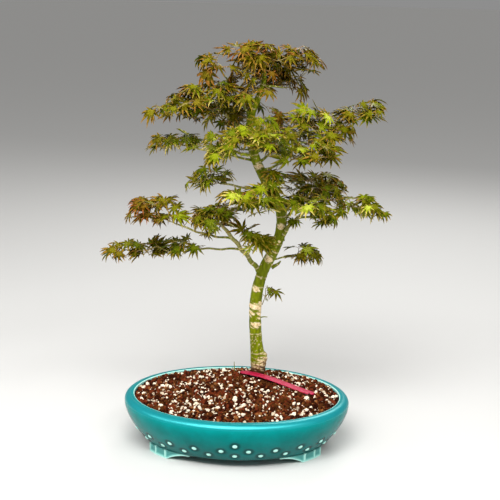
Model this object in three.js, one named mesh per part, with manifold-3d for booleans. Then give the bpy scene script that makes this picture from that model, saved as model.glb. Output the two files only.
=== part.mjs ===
// A small Japanese maple trained as a bonsai, planted in an oval glazed pot.
// Millimetres, +Z up: x runs to the right along the pot, y runs from its front to its back.
// The origin is on the ground under the middle of the pot.
//
// The pot, its feet, the soil and the label are lofted from ovals and arcs. The trunk and the boughs are
// tapering limbs along curves, and each mass of foliage is an uneven rounded solid. Every mass is cut round
// the limbs and the masses that meet it, and every bough stops where it enters its own mass.

import * as THREE from "three";
import { mergeVertices } from "three/addons/utils/BufferGeometryUtils.js";
import Module from "manifold-3d";

const wasm = await Module();
wasm.setup();

// ---------------------------------------------------------------- driving dimensions

const GAP = 0.3; // clearance between two solids that meet on an uneven face
const SLIVER = 0.12; // facets of a cut solid narrower than this are dropped

const pot = {
  length: 300, // outside, at the rim
  depth: 236,
  height: 68, // ground to the top of the rim
  rim: 13, // width of the flat rim
  rimRound: 2.5, // rounding of the rim's outer edge
  straight: 10, // depth of the wall that hangs straight under the rim
  bottomInset: 26, // how far the wall has curved in at the bottom
  curve: 1.6, // exponent of that curve
  foot: 11, // height of the feet
  floor: 6, // thickness of the floor
  wall: 9, // thickness of the curved wall
  sides: 32,
  wallSteps: 6,
};

const cavityFloor = pot.foot + pot.floor;
const cavityLevels = [cavityFloor, 23, 32, 50]; // heights at which the inner wall bends, floor first

const soilBed = {
  edge: 66, // height where it meets the rim
  peak: 78, // height at the trunk
  crown: 1.8, // exponent of the mound's slope
  seat: 0.07, // share of the mound that is flat, round the trunk
  rings: 4,
};

// A foot is an arc of the pot's outline, in degrees from the pot's long axis: it stands square at its outer
// end, is flat on the ground as far as its tip, and then draws up into a thin wing under the pot's front.
const footPlan = {
  outerEnd: 25.5,
  tip: 45.5,
  wingEnd: 62,
  standSteps: 3,
  wingSteps: 3,
  proud: 1.5, // how far its face stands out from the pot's bottom edge
  thickness: 15,
  wingThickness: 6,
  wingHeight: 1.2, // what is left of its height at the end of the wing
  wingCurve: 2.2, // exponent of the rise of the wing
};

const labelStrip = {
  width: 13,
  thickness: 1,
  clearance: 0.8,
  steps: 8,
  route: [[5, 50.8], [37, 29.3], [69, 9], [102, -11.5]], // along the soil, past the front of the trunk
};

// The trunk's middle line: x, y, height and diameter. The swelling near the foot is where it was grafted.
const trunkLine = [
  [28.6, 57, 78, 20.5], [28.4, 56.5, 94, 22.4], [25.2, 56, 112, 17.2], [23, 55, 136, 16.2],
  [21.5, 52, 180, 16], [30, 47, 226, 15], [47.5, 42, 262, 14.4], [54, 37, 297, 13.6],
  [46, 32, 328, 13.2], [27, 28, 357, 13], [12, 23, 392, 12], [6, 18, 426, 10],
  [15, 12, 456, 8.5], [25, 9, 480, 7], [21, 5, 515, 3.6],
];

// Foliage: the middle of each mass, its half sizes along x, y and z, and how much higher than its middle it
// is where its right half ends.
const masses = {
  crown_top: { at: [9, 5, 513], half: [35, 34, 24], rise: -3 },
  crown_right: { at: [66, 26, 505], half: [35, 32, 23], rise: 4 },
  crown_left: { at: [-33, -8, 500], half: [28, 28, 17], rise: -9 },
  crown_right_low: { at: [64, 44, 473], half: [23, 26, 15], rise: -5 },
  crown_back: { at: [22, 66, 482], half: [38, 36, 26], rise: 0 },
  upper_left_tip: { at: [-98, -12, 443], half: [31, 25, 17], rise: 7 },
  upper_left: { at: [-45, 2, 455], half: [46, 38, 27], rise: 8 },
  upper_left_back: { at: [-20, 80, 436], half: [43, 36, 32], rise: 6 },
  upper_right_back: { at: [68, 84, 408], half: [42, 34, 28], rise: 0 },
  middle_left: { at: [-89, 34, 397], half: [40, 30, 14], rise: 6 },
  centre_left: { at: [-25, -34, 400], half: [28, 33, 28], rise: 8 },
  centre_front: { at: [23, -50, 419], half: [32, 34, 27], rise: 0 },
  centre_low: { at: [8, -46, 334], half: [42, 34, 18], rise: -9 },
  middle_right: { at: [96, 22, 427], half: [52, 36, 22], rise: -9 },
  middle_right_low: { at: [84, -20, 392], half: [47, 34, 21], rise: 0 },
  far_right: { at: [161, 22, 444], half: [31, 28, 19], rise: 2 },
  right_front: { at: [37, -12, 357], half: [21, 38, 21], rise: 0 },
  right_inner: { at: [96, 40, 346], half: [37, 34, 20], rise: -6 },
  right_low: { at: [94, -6, 322], half: [40, 32, 21], rise: 0 },
  far_right_low: { at: [152, 20, 326], half: [40, 28, 17], rise: -9 },
  right_back: { at: [88, 88, 332], half: [38, 30, 22], rise: 0 },
  right_small: { at: [85, 48, 248], half: [25, 24, 14], rise: -2 },
  small_left: { at: [-42, 40, 348], half: [32, 30, 18], rise: 2 },
  left: { at: [-106, -2, 311], half: [46, 36, 21], rise: 0 },
  left_inner: { at: [-32, 4, 304], half: [32, 30, 21], rise: 3 },
  left_low_tip: { at: [-154, 28, 252], half: [35, 24, 15], rise: 6 },
  left_low: { at: [-92, 34, 256], half: [40, 32, 18], rise: 0 },
  left_back: { at: [-38, 86, 288], half: [36, 31, 20], rise: 0 },
  front_low: { at: [21, -10, 278], half: [26, 25, 17], rise: -2 },
};

const unevenness = 0.16; // how far a mass swells and dips, as a share of its size
const underside = 0.82; // masses are this much flatter below than above

// Boughs: the limb that bears each, where (a height on the trunk, or a share of a bough's length), the mass
// it carries, its diameters, and how early it climbs: 0 is level at first, 1 is steep at first.
const boughs = {
  low_left: { from: "trunk", height: 222, mass: "left_inner", girth: [7.5, 4.4], early: 0.3 },
  low_left_under: { from: "low_left", along: 0.46, mass: "left_low", girth: [3, 2.2], early: 0.3 },
  low_left_reach: { from: "low_left", along: 0.66, mass: "left", girth: [3.2, 2.2], early: 0 },
  low_back: { from: "trunk", height: 248, mass: "left_back", girth: [4.6, 3], early: 0.6 },
  low_right: { from: "trunk", height: 266, mass: "right_low", girth: [6.8, 4], early: 0.55 },
  low_right_reach: { from: "low_right", along: 0.6, mass: "far_right_low", girth: [3, 2.2], early: 0.1 },
  low_right_shoot: { from: "trunk", height: 240, mass: "right_small", girth: [2.6, 2], early: 0.6 },
  low_front: { from: "trunk", height: 256, mass: "front_low", girth: [3, 2.2], early: 0.2 },
  middle_right: { from: "trunk", height: 303, mass: "right_inner", girth: [4.2, 3], early: 0.6 },
  middle_right_back: { from: "trunk", height: 290, mass: "right_back", girth: [4.2, 3], early: 0.4 },
  middle_front: { from: "trunk", height: 318, mass: "centre_low", girth: [4, 2.8], early: 0.4 },
  middle_left: { from: "trunk", height: 338, mass: "small_left", girth: [3.4, 2.4], early: 0.1 },
  upper_left_low: { from: "trunk", height: 378, mass: "middle_left", girth: [3.2, 2.2], early: 0.3 },
  upper_left: { from: "trunk", height: 404, mass: "upper_left", girth: [4, 2.8], early: 0.4 },
  upper_left_front: { from: "trunk", height: 384, mass: "centre_left", girth: [3.4, 2.4], early: 0.3 },
  upper_front: { from: "trunk", height: 392, mass: "centre_front", girth: [3.6, 2.4], early: 0.3 },
  upper_right: { from: "trunk", height: 388, mass: "middle_right", girth: [4.2, 2.8], early: 0.4 },
  upper_right_reach: { from: "upper_right", along: 0.6, mass: "far_right", girth: [3, 2.2], early: 0.1 },
  upper_right_low: { from: "trunk", height: 364, mass: "middle_right_low", girth: [3.8, 2.6], early: 0.4 },
  upper_right_back: { from: "trunk", height: 374, mass: "upper_right_back", girth: [4, 2.6], early: 0.3 },
  upper_back: { from: "trunk", height: 408, mass: "upper_left_back", girth: [3.6, 2.6], early: 0.3 },
  top_left: { from: "trunk", height: 436, mass: "crown_left", girth: [3.4, 2.2], early: 0.35 },
  top_right: { from: "trunk", height: 476, mass: "crown_right_low", girth: [2.8, 2], early: 0.4 },
};

// ---------------------------------------------------------------- materials

const finish = (color, roughness) => new THREE.MeshStandardMaterial({ color, roughness, metalness: 0 });
const glaze = finish(0x008f8c, 0.18);
const earth = finish(0x4a2a22, 0.95);
const bark = finish(0x7d8f2a, 0.7);
const leaf = finish(0x7f9a24, 0.6);
const pinkPlastic = finish(0xd02468, 0.35);

// ---------------------------------------------------------------- solids

// A closed geometry as a solid that can be joined and cut.
function solidOf(geometry) {
  const bare = geometry.clone();
  bare.deleteAttribute("normal");
  bare.deleteAttribute("uv");
  const merged = mergeVertices(bare, 1e-4);
  return new wasm.Manifold(new wasm.Mesh({
    numProp: 3,
    vertProperties: new Float32Array(merged.attributes.position.array),
    triVerts: new Uint32Array(merged.index.array),
  }));
}

function geometryOf(solid) {
  const { numProp, vertProperties, triVerts } = solid.getMesh();
  const corners = new Float32Array((vertProperties.length / numProp) * 3);
  for (let v = 0; v < corners.length / 3; v++) {
    for (let k = 0; k < 3; k++) corners[v * 3 + k] = vertProperties[v * numProp + k];
  }
  const geometry = new THREE.BufferGeometry();
  geometry.setAttribute("position", new THREE.BufferAttribute(corners, 3));
  geometry.setIndex([...triVerts]);
  geometry.computeVertexNormals();
  return geometry;
}

// What a cut leaves can fall into several pieces: the largest one is the part, without the cut's slivers.
function largestPiece(solid) {
  const pieces = solid.decompose();
  return pieces.reduce((best, piece) => (piece.volume() > best.volume() ? piece : best)).simplify(SLIVER);
}

// A closed solid through rings of equal length, each a list of points going the same way round.
// The first and last rings are closed by a fan about their middle.
function loft(rings) {
  const count = rings[0].length;
  const points = rings.flat();
  const faces = [];
  for (let i = 0; i + 1 < rings.length; i++) {
    for (let j = 0; j < count; j++) {
      const k = (j + 1) % count;
      const [a, b, c, d] = [i * count + j, i * count + k, (i + 1) * count + k, (i + 1) * count + j];
      faces.push(a, b, c, a, c, d);
    }
  }
  for (const last of [false, true]) {
    const first = last ? (rings.length - 1) * count : 0;
    const middle = points.length;
    const ring = rings.at(last ? -1 : 0);
    points.push(ring.reduce((sum, p) => sum.add(p), new THREE.Vector3()).divideScalar(count));
    for (let j = 0; j < count; j++) {
      const k = (j + 1) % count;
      faces.push(middle, first + (last ? j : k), first + (last ? k : j));
    }
  }
  const corners = points.flatMap((p) => [p.x, p.y, p.z]);
  const geometry = new THREE.BufferGeometry();
  geometry.setAttribute("position", new THREE.Float32BufferAttribute(corners, 3));
  geometry.setIndex(faces);
  geometry.computeVertexNormals();
  return geometry;
}

// Numbers from one value to another, both included.
function evenly(from, to, steps) {
  return Array.from({ length: steps + 1 }, (_, i) => THREE.MathUtils.lerp(from, to, i / steps));
}

// ---------------------------------------------------------------- pot

const half = { x: pot.length / 2, y: pot.depth / 2 };

// How far the outer wall has curved in at a given height.
function wallInset(z) {
  const drop = pot.height - z;
  const share = Math.max(0, (drop - pot.straight) / (pot.height - pot.foot - pot.straight));
  return pot.bottomInset * share ** pot.curve;
}

// A point of the pot's oval, brought in by an inset, at an angle and a height.
function ovalPoint(angle, inset, z) {
  return new THREE.Vector3((half.x - inset) * Math.cos(angle), (half.y - inset) * Math.sin(angle), z);
}

function ovalRing(inset, z) {
  return Array.from({ length: pot.sides }, (_, j) => ovalPoint((2 * Math.PI * j) / pot.sides, inset, z));
}

function innerInset(z) {
  return Math.max(pot.rim, wallInset(z) + pot.wall);
}

function potBody() {
  const wallLevels = evenly(pot.foot, pot.height - pot.straight, pot.wallSteps);
  const wall = wallLevels.map((z) => ovalRing(wallInset(z), z));
  const shoulder = [
    ovalRing(0, pot.height - pot.rimRound),
    ovalRing(pot.rimRound * 0.3, pot.height - pot.rimRound * 0.3),
    ovalRing(pot.rimRound, pot.height),
  ];
  const inside = [...cavityLevels, pot.height].reverse().map((z) => ovalRing(innerInset(z), z));
  return loft([...wall, ...shoulder, ...inside]);
}

// One foot, for the corner of the pot with these signs of x and y.
function footUnder(signX, signY) {
  const { outerEnd, tip, wingEnd, standSteps, wingSteps, proud, thickness, wingThickness } = footPlan;
  const turns = [...evenly(outerEnd, tip, standSteps), ...evenly(tip, wingEnd, wingSteps).slice(1)];
  const rings = turns.map((turn) => {
    const wing = Math.max(0, turn - tip) / (wingEnd - tip);
    const low = (pot.foot - footPlan.wingHeight) * (1 - (1 - wing) ** footPlan.wingCurve);
    const outer = pot.bottomInset - proud * (1 - wing);
    const inner = pot.bottomInset + THREE.MathUtils.lerp(thickness, wingThickness, wing);
    const corner = (inset, z) => ovalPoint(THREE.MathUtils.degToRad(turn), inset, z)
      .multiply(new THREE.Vector3(signX, signY, 1));
    return [corner(outer, low), corner(inner, low), corner(inner, pot.foot), corner(outer, pot.foot)];
  });
  return loft(signX * signY > 0 ? rings : rings.reverse());
}

// ---------------------------------------------------------------- soil and label

const trunkFoot = new THREE.Vector2(trunkLine[0][0], trunkLine[0][1]);

// The mound's height at a share of the way from the trunk's foot to the pot's wall.
function moundHeight(share) {
  const slope = Math.max(0, share - soilBed.seat) / (1 - soilBed.seat);
  return soilBed.peak - (soilBed.peak - soilBed.edge) * slope ** soilBed.crown;
}

// That share for any point of the soil: the oval is scaled about the trunk's foot until it passes there.
function moundShare(x, y) {
  const [a, b] = [half.x - pot.rim, half.y - pot.rim];
  const [dx, dy] = [x - trunkFoot.x, y - trunkFoot.y];
  const A = (dx / a) ** 2 + (dy / b) ** 2;
  const B = (trunkFoot.x * dx) / a ** 2 + (trunkFoot.y * dy) / b ** 2;
  const C = (trunkFoot.x / a) ** 2 + (trunkFoot.y / b) ** 2 - 1;
  return A / (Math.sqrt(B * B - A * C) - B);
}

function soilBody() {
  const buried = [...cavityLevels, soilBed.edge].map((z) => ovalRing(innerInset(z) + GAP, z));
  const rim = buried.at(-1);
  const middle = new THREE.Vector3(...trunkFoot, 0);
  const mound = evenly(1, soilBed.seat, soilBed.rings).slice(1).map((share) => (
    rim.map((p) => middle.clone().lerp(p, share).setZ(moundHeight(share)))
  ));
  return loft([...buried, ...mound]);
}

// A thin strip of plastic that follows the mound.
function labelBody() {
  const route = new THREE.CatmullRomCurve3(labelStrip.route.map(([x, y]) => new THREE.Vector3(x, y, 0)));
  const rings = evenly(0, 1, labelStrip.steps).map((t) => {
    const middle = route.getPointAt(t);
    const along = route.getTangentAt(t);
    const across = new THREE.Vector3(-along.y, along.x, 0).multiplyScalar(labelStrip.width / 2);
    const corner = (side, lift) => {
      const p = middle.clone().addScaledVector(across, side);
      return p.setZ(moundHeight(moundShare(p.x, p.y)) + labelStrip.clearance + lift);
    };
    const top = labelStrip.thickness;
    return [corner(-1, 0), corner(1, 0), corner(1, top), corner(-1, top)];
  });
  return loft(rings);
}

// ---------------------------------------------------------------- limbs

const [acrossTrunk, upright] = [new THREE.Vector3(1, 0, 0), new THREE.Vector3(0, 0, 1)];
const trunkShape = { sides: 8, steps: 24, side: acrossTrunk, levelFoot: true };
const boughShape = { sides: 5, steps: 5, side: upright, levelFoot: false };

// A tapering limb along a curve. Its rings stand square to the curve, with their first corner towards a
// given side, and a level foot is cut flat. Grown, it is the limb with clearance round it.
function limb({ curve, girth }, { sides, steps, side, levelFoot }, grow) {
  const rings = evenly(0, 1, steps).map((t) => {
    const along = levelFoot && t === 0 ? upright : curve.getTangentAt(t);
    const u = side.clone().addScaledVector(along, -along.dot(side)).normalize();
    const v = along.clone().cross(u);
    const radius = girth(t) / 2 + grow;
    return Array.from({ length: sides }, (_, j) => curve.getPointAt(t)
      .addScaledVector(u, radius * Math.cos((2 * Math.PI * j) / sides))
      .addScaledVector(v, radius * Math.sin((2 * Math.PI * j) / sides)));
  });
  return loft(rings);
}

const limbs = {};

// The trunk's diameter at a height, between the two stations nearest to it.
function trunkGirthAt(z) {
  const above = Math.max(1, trunkLine.findIndex((station) => station[2] >= z));
  const [low, high] = [trunkLine[above - 1], trunkLine[above]];
  return THREE.MathUtils.mapLinear(z, low[2], high[2], low[3], high[3]);
}

limbs.trunk = { curve: new THREE.CatmullRomCurve3(trunkLine.map(([x, y, z]) => new THREE.Vector3(x, y, z))) };
limbs.trunk.girth = (t) => trunkGirthAt(Math.min(limbs.trunk.curve.getPointAt(t).z, trunkLine.at(-1)[2]));

// The share of the trunk's length at which it reaches a height, found by halving.
function trunkShare(height) {
  let [low, high] = [0, 1];
  for (let i = 0; i < 24; i++) {
    const middle = (low + high) / 2;
    if (limbs.trunk.curve.getPointAt(middle).z < height) low = middle;
    else high = middle;
  }
  return low;
}

// A bough starts on the middle line of the limb that bears it and ends in the middle of its mass.
function boughCurve({ from, height, along, mass, early }) {
  const start = limbs[from].curve.getPointAt(height === undefined ? along : trunkShare(height));
  const end = new THREE.Vector3(...masses[mass].at);
  const flat = end.clone().sub(start).setZ(0);
  const climb = end.z - start.z;
  const first = start.clone().addScaledVector(flat, 0.3).setZ(start.z + climb * early);
  const last = start.clone().addScaledVector(flat, 0.7).setZ(start.z + climb * (early + 0.4));
  return new THREE.CubicBezierCurve3(start, first, last, end);
}

for (const [name, bough] of Object.entries(boughs)) {
  const [thick, thin] = bough.girth;
  limbs[name] = { curve: boughCurve(bough), girth: (t) => THREE.MathUtils.lerp(thick, thin, t) };
}

const limbGeometry = (name, grow = 0) => limb(limbs[name], name === "trunk" ? trunkShape : boughShape, grow);
const limbSolid = (name, grow = 0) => solidOf(limbGeometry(name, grow));

// ---------------------------------------------------------------- masses

// An uneven rounded solid of the named half sizes: a ball of facets that swells and dips with three slow
// waves, each turned by the mass's own number, that is flatter below than above, and that slants by its rise.
function massSolid(name, grow = 0) {
  const { at, half: size, rise } = masses[name];
  const number = Object.keys(masses).indexOf(name) + 1;
  const ball = new THREE.IcosahedronGeometry(1, 2);
  const place = ball.attributes.position;
  const point = new THREE.Vector3();
  for (let i = 0; i < place.count; i++) {
    point.fromBufferAttribute(place, i);
    const waves = Math.sin(2.3 * point.x + 1.7 * point.y + number)
      + Math.sin(3.1 * point.y - 1.3 * point.z + 2.4 * number)
      + Math.sin(2.7 * point.z + 2.9 * point.x + 3.7 * number);
    point.multiplyScalar(1 + (unevenness * waves) / 1.8);
    if (point.z < 0) point.z *= underside;
    place.setXYZ(i, point.x, point.y, point.z);
  }
  ball.computeBoundingBox();
  const middle = ball.boundingBox.getCenter(new THREE.Vector3());
  const extent = ball.boundingBox.getSize(new THREE.Vector3());
  ball.translate(-middle.x, -middle.y, -middle.z);
  ball.scale(...size.map((s, k) => (2 * (s + grow)) / extent.getComponent(k)));
  ball.applyMatrix4(new THREE.Matrix4().makeShear(0, rise / size[0], 0, 0, 0, 0));
  ball.translate(...at);
  return solidOf(ball);
}

// ---------------------------------------------------------------- the whole plant

const plant = new THREE.Group();

function addPart(name, geometry, material) {
  const mesh = new THREE.Mesh(geometry, material);
  mesh.name = name;
  plant.add(mesh);
}

addPart("pot_body", potBody(), glaze);
for (const [depth, signY] of [["front", -1], ["back", 1]]) {
  for (const [end, signX] of [["left", -1], ["right", 1]]) {
    addPart(`foot_${depth}_${end}`, footUnder(signX, signY), glaze);
  }
}
addPart("soil", soilBody(), earth);
addPart("plant_label", labelBody(), pinkPlastic);
addPart("trunk", limbGeometry("trunk"), bark);

// Each bough gives way to the trunk, to its own mass and to the boughs before it.
const cutters = [limbSolid("trunk", GAP)];
for (const [name, { mass }] of Object.entries(boughs)) {
  const solid = cutters.reduce((rest, cutter) => rest.subtract(cutter), limbSolid(name));
  addPart(`bough_${name}`, geometryOf(largestPiece(solid.subtract(massSolid(mass, GAP)))), bark);
  cutters.push(limbSolid(name, GAP));
}

// Each mass gives way to every limb and to the masses before it.
for (const name of Object.keys(masses)) {
  const solid = cutters.reduce((rest, cutter) => rest.subtract(cutter), massSolid(name));
  addPart(`leaves_${name}`, geometryOf(largestPiece(solid)), leaf);
  cutters.push(massSolid(name, GAP));
}

export default plant;
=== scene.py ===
# %% [markdown]
# # A small Japanese maple in an oval glazed pot
#
# This lesson dresses a plain construction model of a bonsai. The frame already holds the right sizes and
# places: an oval pot on four feet, a mound of soil, a label, a trunk, boughs, and a rounded solid for each
# mass of foliage. The cells below read those solids and put the visible surfaces in their place: glaze,
# loose granules, bark, twigs and well over two thousand small lobed leaves.
#
# Every surface is worked out with numpy as whole arrays of points, and then handed to Blender once.

import bpy
import numpy as np
from mathutils import Matrix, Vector
from mathutils.bvhtree import BVHTree


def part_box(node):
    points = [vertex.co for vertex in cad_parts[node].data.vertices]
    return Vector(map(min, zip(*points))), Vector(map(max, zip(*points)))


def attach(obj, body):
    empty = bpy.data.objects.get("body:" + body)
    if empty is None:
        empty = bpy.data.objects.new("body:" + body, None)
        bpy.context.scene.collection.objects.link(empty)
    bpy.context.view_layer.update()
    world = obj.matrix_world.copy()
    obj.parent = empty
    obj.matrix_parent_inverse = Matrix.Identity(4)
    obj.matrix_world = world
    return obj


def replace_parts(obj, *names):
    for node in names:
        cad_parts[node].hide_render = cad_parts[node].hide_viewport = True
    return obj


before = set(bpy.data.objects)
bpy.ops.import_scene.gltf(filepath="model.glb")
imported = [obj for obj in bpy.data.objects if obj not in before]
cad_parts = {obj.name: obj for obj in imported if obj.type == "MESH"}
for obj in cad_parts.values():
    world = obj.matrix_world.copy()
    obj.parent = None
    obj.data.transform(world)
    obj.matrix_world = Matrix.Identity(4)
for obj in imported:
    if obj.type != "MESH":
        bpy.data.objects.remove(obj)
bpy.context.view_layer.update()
MM = 0.001
print("frame holds", len(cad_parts), "solids")

# %% [markdown]
# ## Reading a solid and making a piece
#
# A solid of the frame is a list of loose triangles. A few small helpers carry points in and out of Blender:
# one reads a solid as two arrays, and another turns arrays into a finished piece. The pieces could be made
# corner by corner with bmesh, but writing whole arrays with foreach_set is many times faster, which matters
# when a tree has half a million faces.

# %% Arrays in and out
def solid(name):
    """The corners of a solid as an (n, 3) array in metres, and its triangles as rows of three indices."""
    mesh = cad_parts[name].data
    mesh.calc_loop_triangles()
    points = np.empty(len(mesh.vertices) * 3)
    corners = np.empty(len(mesh.loop_triangles) * 3, dtype=np.int32)
    mesh.vertices.foreach_get("co", points)
    mesh.loop_triangles.foreach_get("vertices", corners)
    return points.reshape(-1, 3), corners.reshape(-1, 3)


def put_in_scene(name, data):
    """A new object with the given data, linked to the scene and left at the origin."""
    thing = bpy.data.objects.new(name, data)
    bpy.context.scene.collection.objects.link(thing)
    return thing


def make_piece(name, points, faces, slots=None, smooth=True, attributes=None):
    """A mesh object from points and a list of face arrays, each (n, 3) or (n, 4).

    slots gives each face its material number, and attributes holds named numbers, one for each point.
    """
    mesh = bpy.data.meshes.new(name)
    corners = np.concatenate([f.ravel() for f in faces]).astype(np.int32)
    sizes = np.concatenate([np.full(len(f), f.shape[1]) for f in faces])
    mesh.vertices.add(len(points))
    mesh.loops.add(len(corners))
    mesh.polygons.add(len(sizes))
    mesh.vertices.foreach_set("co", np.asarray(points, dtype=np.float32).ravel())
    mesh.loops.foreach_set("vertex_index", corners)
    mesh.polygons.foreach_set("loop_start", (np.cumsum(sizes) - sizes).astype(np.int32))
    if slots is not None:
        mesh.polygons.foreach_set("material_index", np.asarray(slots, dtype=np.int32))
    mesh.update(calc_edges=True)
    mesh.polygons.foreach_set("use_smooth", np.full(len(sizes), smooth))
    for key, values in (attributes or {}).items():
        layer = mesh.attributes.new(key, "FLOAT", "POINT")
        layer.data.foreach_set("value", np.asarray(values, dtype=np.float32).ravel())
    piece = put_in_scene(name, mesh)
    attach(piece, "root")
    print(f"{name}: {len(sizes)} faces")
    return piece


def grid_faces(rings, sides):
    """The quads of a grid of points laid out ring by ring, each ring's last point joined to its first."""
    index = np.arange(rings * sides).reshape(rings, sides)
    beside = np.roll(index, -1, axis=1)
    return np.stack([index[:-1], beside[:-1], beside[1:], index[1:]], axis=-1).reshape(-1, 4)


# %% [markdown]
# ## Colours and finishes
#
# Colours are easier to choose as the three numbers that a paint chart gives, from 0 to 255, but shaders mix
# light in linear numbers, so a helper converts them. A second helper makes a Principled material with plain
# sockets, and the others add nodes with their values and links, which keeps each finish to a few lines.

# %% Colours and plain materials
def paint(red, green, blue):
    """Display colour to linear light: ((c + 0.055) / 1.055) to the power 2.4, for each of the three."""
    shares = (np.array([red, green, blue]) / 255 + 0.055) / 1.055
    return (*(shares**2.4), 1.0)


def finish_of(name, colour, roughness, **sockets):
    """A material with one Principled shader. sockets sets further inputs, with _ for each space."""
    material = bpy.data.materials.new(name)
    material.use_nodes = True
    material.diffuse_color = paint(*colour)
    shader = material.node_tree.nodes["Principled BSDF"]
    shader.inputs["Base Color"].default_value = paint(*colour)
    shader.inputs["Roughness"].default_value = roughness
    for key, value in sockets.items():
        shader.inputs[key.replace("_", " ")].default_value = value
    return material


# %% Nodes and their links
def add_node(material, kind, **values):
    """Adds a node; a value whose name is an input's is set there, and any other is set on the node."""
    node = material.node_tree.nodes.new(kind)
    for key, value in values.items():
        label = key.replace("_", " ")
        if label in node.inputs:
            node.inputs[label].default_value = value
        else:
            setattr(node, key, value)
    return node


def join(material, source, target):
    """Links an output socket to an input socket."""
    material.node_tree.links.new(source, target)


def ramp(material, factor, stops):
    """A colour ramp fed by factor, with stops of (place, colour). Returns its colour output."""
    node = add_node(material, "ShaderNodeValToRGB")
    elements = node.color_ramp.elements
    while len(elements) < len(stops):
        elements.new(0.5)
    for element, (place, colour) in zip(elements, stops):
        element.position = place
        element.color = paint(*colour)
    join(material, factor, node.inputs["Fac"])
    return node.outputs["Color"]


def blend_colours(material, factor, below, above):
    """Mixes two colours by a factor, each a plain value or an output: below (1 - factor) + above factor."""
    node = add_node(material, "ShaderNodeMix", data_type="RGBA")
    for value, socket in ((factor, node.inputs[0]), (below, node.inputs[6]), (above, node.inputs[7])):
        if isinstance(value, bpy.types.NodeSocket):
            join(material, value, socket)
        else:
            socket.default_value = paint(*value) if isinstance(value, tuple) else value
    return node.outputs[2]


def mapped(material, value, **ends):
    """Carries an output from one range to another, both 0 to 1 where ends doesn't say, and clamps it."""
    node = add_node(material, "ShaderNodeMapRange", **ends)
    join(material, value, node.inputs["Value"])
    return node.outputs["Result"]


def to_shader(material, source, socket="Base Color"):
    """Links an output to an input of the material's shader."""
    join(material, source, material.node_tree.nodes["Principled BSDF"].inputs[socket])


def noise_on(material, scale, detail, roughness=0.55, distortion=0.0, stretch=(1, 1, 1)):
    """Noise on Object coordinates as a factor output. scale counts per metre; stretch squeezes the axes."""
    place = add_node(material, "ShaderNodeTexCoord")
    turn = add_node(material, "ShaderNodeMapping", Scale=stretch)
    noise = add_node(material, "ShaderNodeTexNoise",
                     Scale=scale, Detail=detail, Roughness=roughness, Distortion=distortion)
    join(material, place.outputs["Object"], turn.inputs["Vector"])
    join(material, turn.outputs["Vector"], noise.inputs["Vector"])
    return noise.outputs["Fac"]


def roughen(material, scale, detail, strength, depth):
    """Feeds noise to the shader's normal as relief of the given depth in metres."""
    bump = add_node(material, "ShaderNodeBump", Strength=strength, Distance=depth)
    join(material, noise_on(material, scale, detail), bump.inputs["Height"])
    to_shader(material, bump.outputs["Normal"], "Normal")


def attribute(material, name):
    """The numbers that a piece stores for each point, as a factor output."""
    return add_node(material, "ShaderNodeAttribute", attribute_name=name).outputs["Fac"]


# %% [markdown]
# ## The pot's oval
#
# A thrown oval pot is one outline carried round an oval: every height has its own ring. A ring needs only
# its two half lengths and its height, so the whole wall is a grid of (ring, angle). The sizes come from the
# frame: the rim fills the box of the pot's solid, and the foot of the wall is where that box ends.

# %% Sizes of the pot
pot_low, pot_high = (np.array(corner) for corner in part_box("pot_body"))
half_x, half_y = pot_high[:2]
rim_z, base_z = pot_high[2], pot_low[2]
RIM_WIDTH = 13 * MM
STRAIGHT = 10 * MM
BASE_INSET = 26 * MM
WALL_CURVE = 1.6
print("pot", half_x * 2, "by", half_y * 2, "rim at", rim_z, "base at", base_z)


def wall_inset(z):
    """The outer wall's way in: nothing near the rim, then the share of the drop to a power, times 26 mm."""
    share = np.clip((rim_z - z - STRAIGHT) / (rim_z - base_z - STRAIGHT), 0, 1)
    return BASE_INSET * share**WALL_CURVE


def on_oval(angle, inset, z):
    """The point ((a - inset) cos angle, (b - inset) sin angle, z) of the pot's oval, for arrays of each."""
    angle, inset, z = np.broadcast_arrays(angle, inset, z)
    return np.stack([(half_x - inset) * np.cos(angle), (half_y - inset) * np.sin(angle), z], axis=-1)


# %% [markdown]
# ## Rows of bosses
#
# Two rows of small nail-head bosses run round the foot of the wall, one above the other and half a step
# apart, with one more above the middle of the front and of the back. They stand at equal distances along
# the oval, which isn't the same as equal angles, so the angles are looked up from the length of the curve.

# %% Where the bosses stand
BOSSES_ROUND = 22
ROW_HEIGHTS = np.array([9, 17.5, 27]) * MM
ROW_INSETS = np.array([20, 14, 8]) * MM


def angles_by_length(inset, shares):
    """Angles at which the oval has run the given shares of its length, starting from the pot's front."""
    fine = np.linspace(-np.pi / 2, 1.5 * np.pi, 4001)
    steps = np.linalg.norm(np.diff(on_oval(fine, inset, 0.0), axis=0), axis=1)
    run = np.concatenate([[0], np.cumsum(steps)])
    return np.interp(shares, run / run[-1], fine)


def unit(vectors):
    """Each vector divided by its length."""
    return vectors / np.linalg.norm(vectors, axis=-1, keepdims=True)


def wall_normal(angle, z):
    """The outward direction of the wall: the cross product of its steps along the angle and up the wall."""
    step = 1e-4
    here = on_oval(angle, wall_inset(z), z)
    along = on_oval(angle + step, wall_inset(z), z) - here
    up = on_oval(angle, wall_inset(z + step), z + step) - here
    return unit(np.cross(along, up))


row_shares = np.arange(BOSSES_ROUND) / BOSSES_ROUND
shares_by_row = (row_shares, row_shares + 0.5 / BOSSES_ROUND, np.array([0, 0.5]))
boss_angles = np.concatenate([angles_by_length(*row) for row in zip(ROW_INSETS, shares_by_row)])
boss_z = base_z + np.repeat(ROW_HEIGHTS, [len(shares) for shares in shares_by_row])
boss_places = on_oval(boss_angles, wall_inset(boss_z), boss_z)
print(len(boss_places), "bosses")

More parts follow.
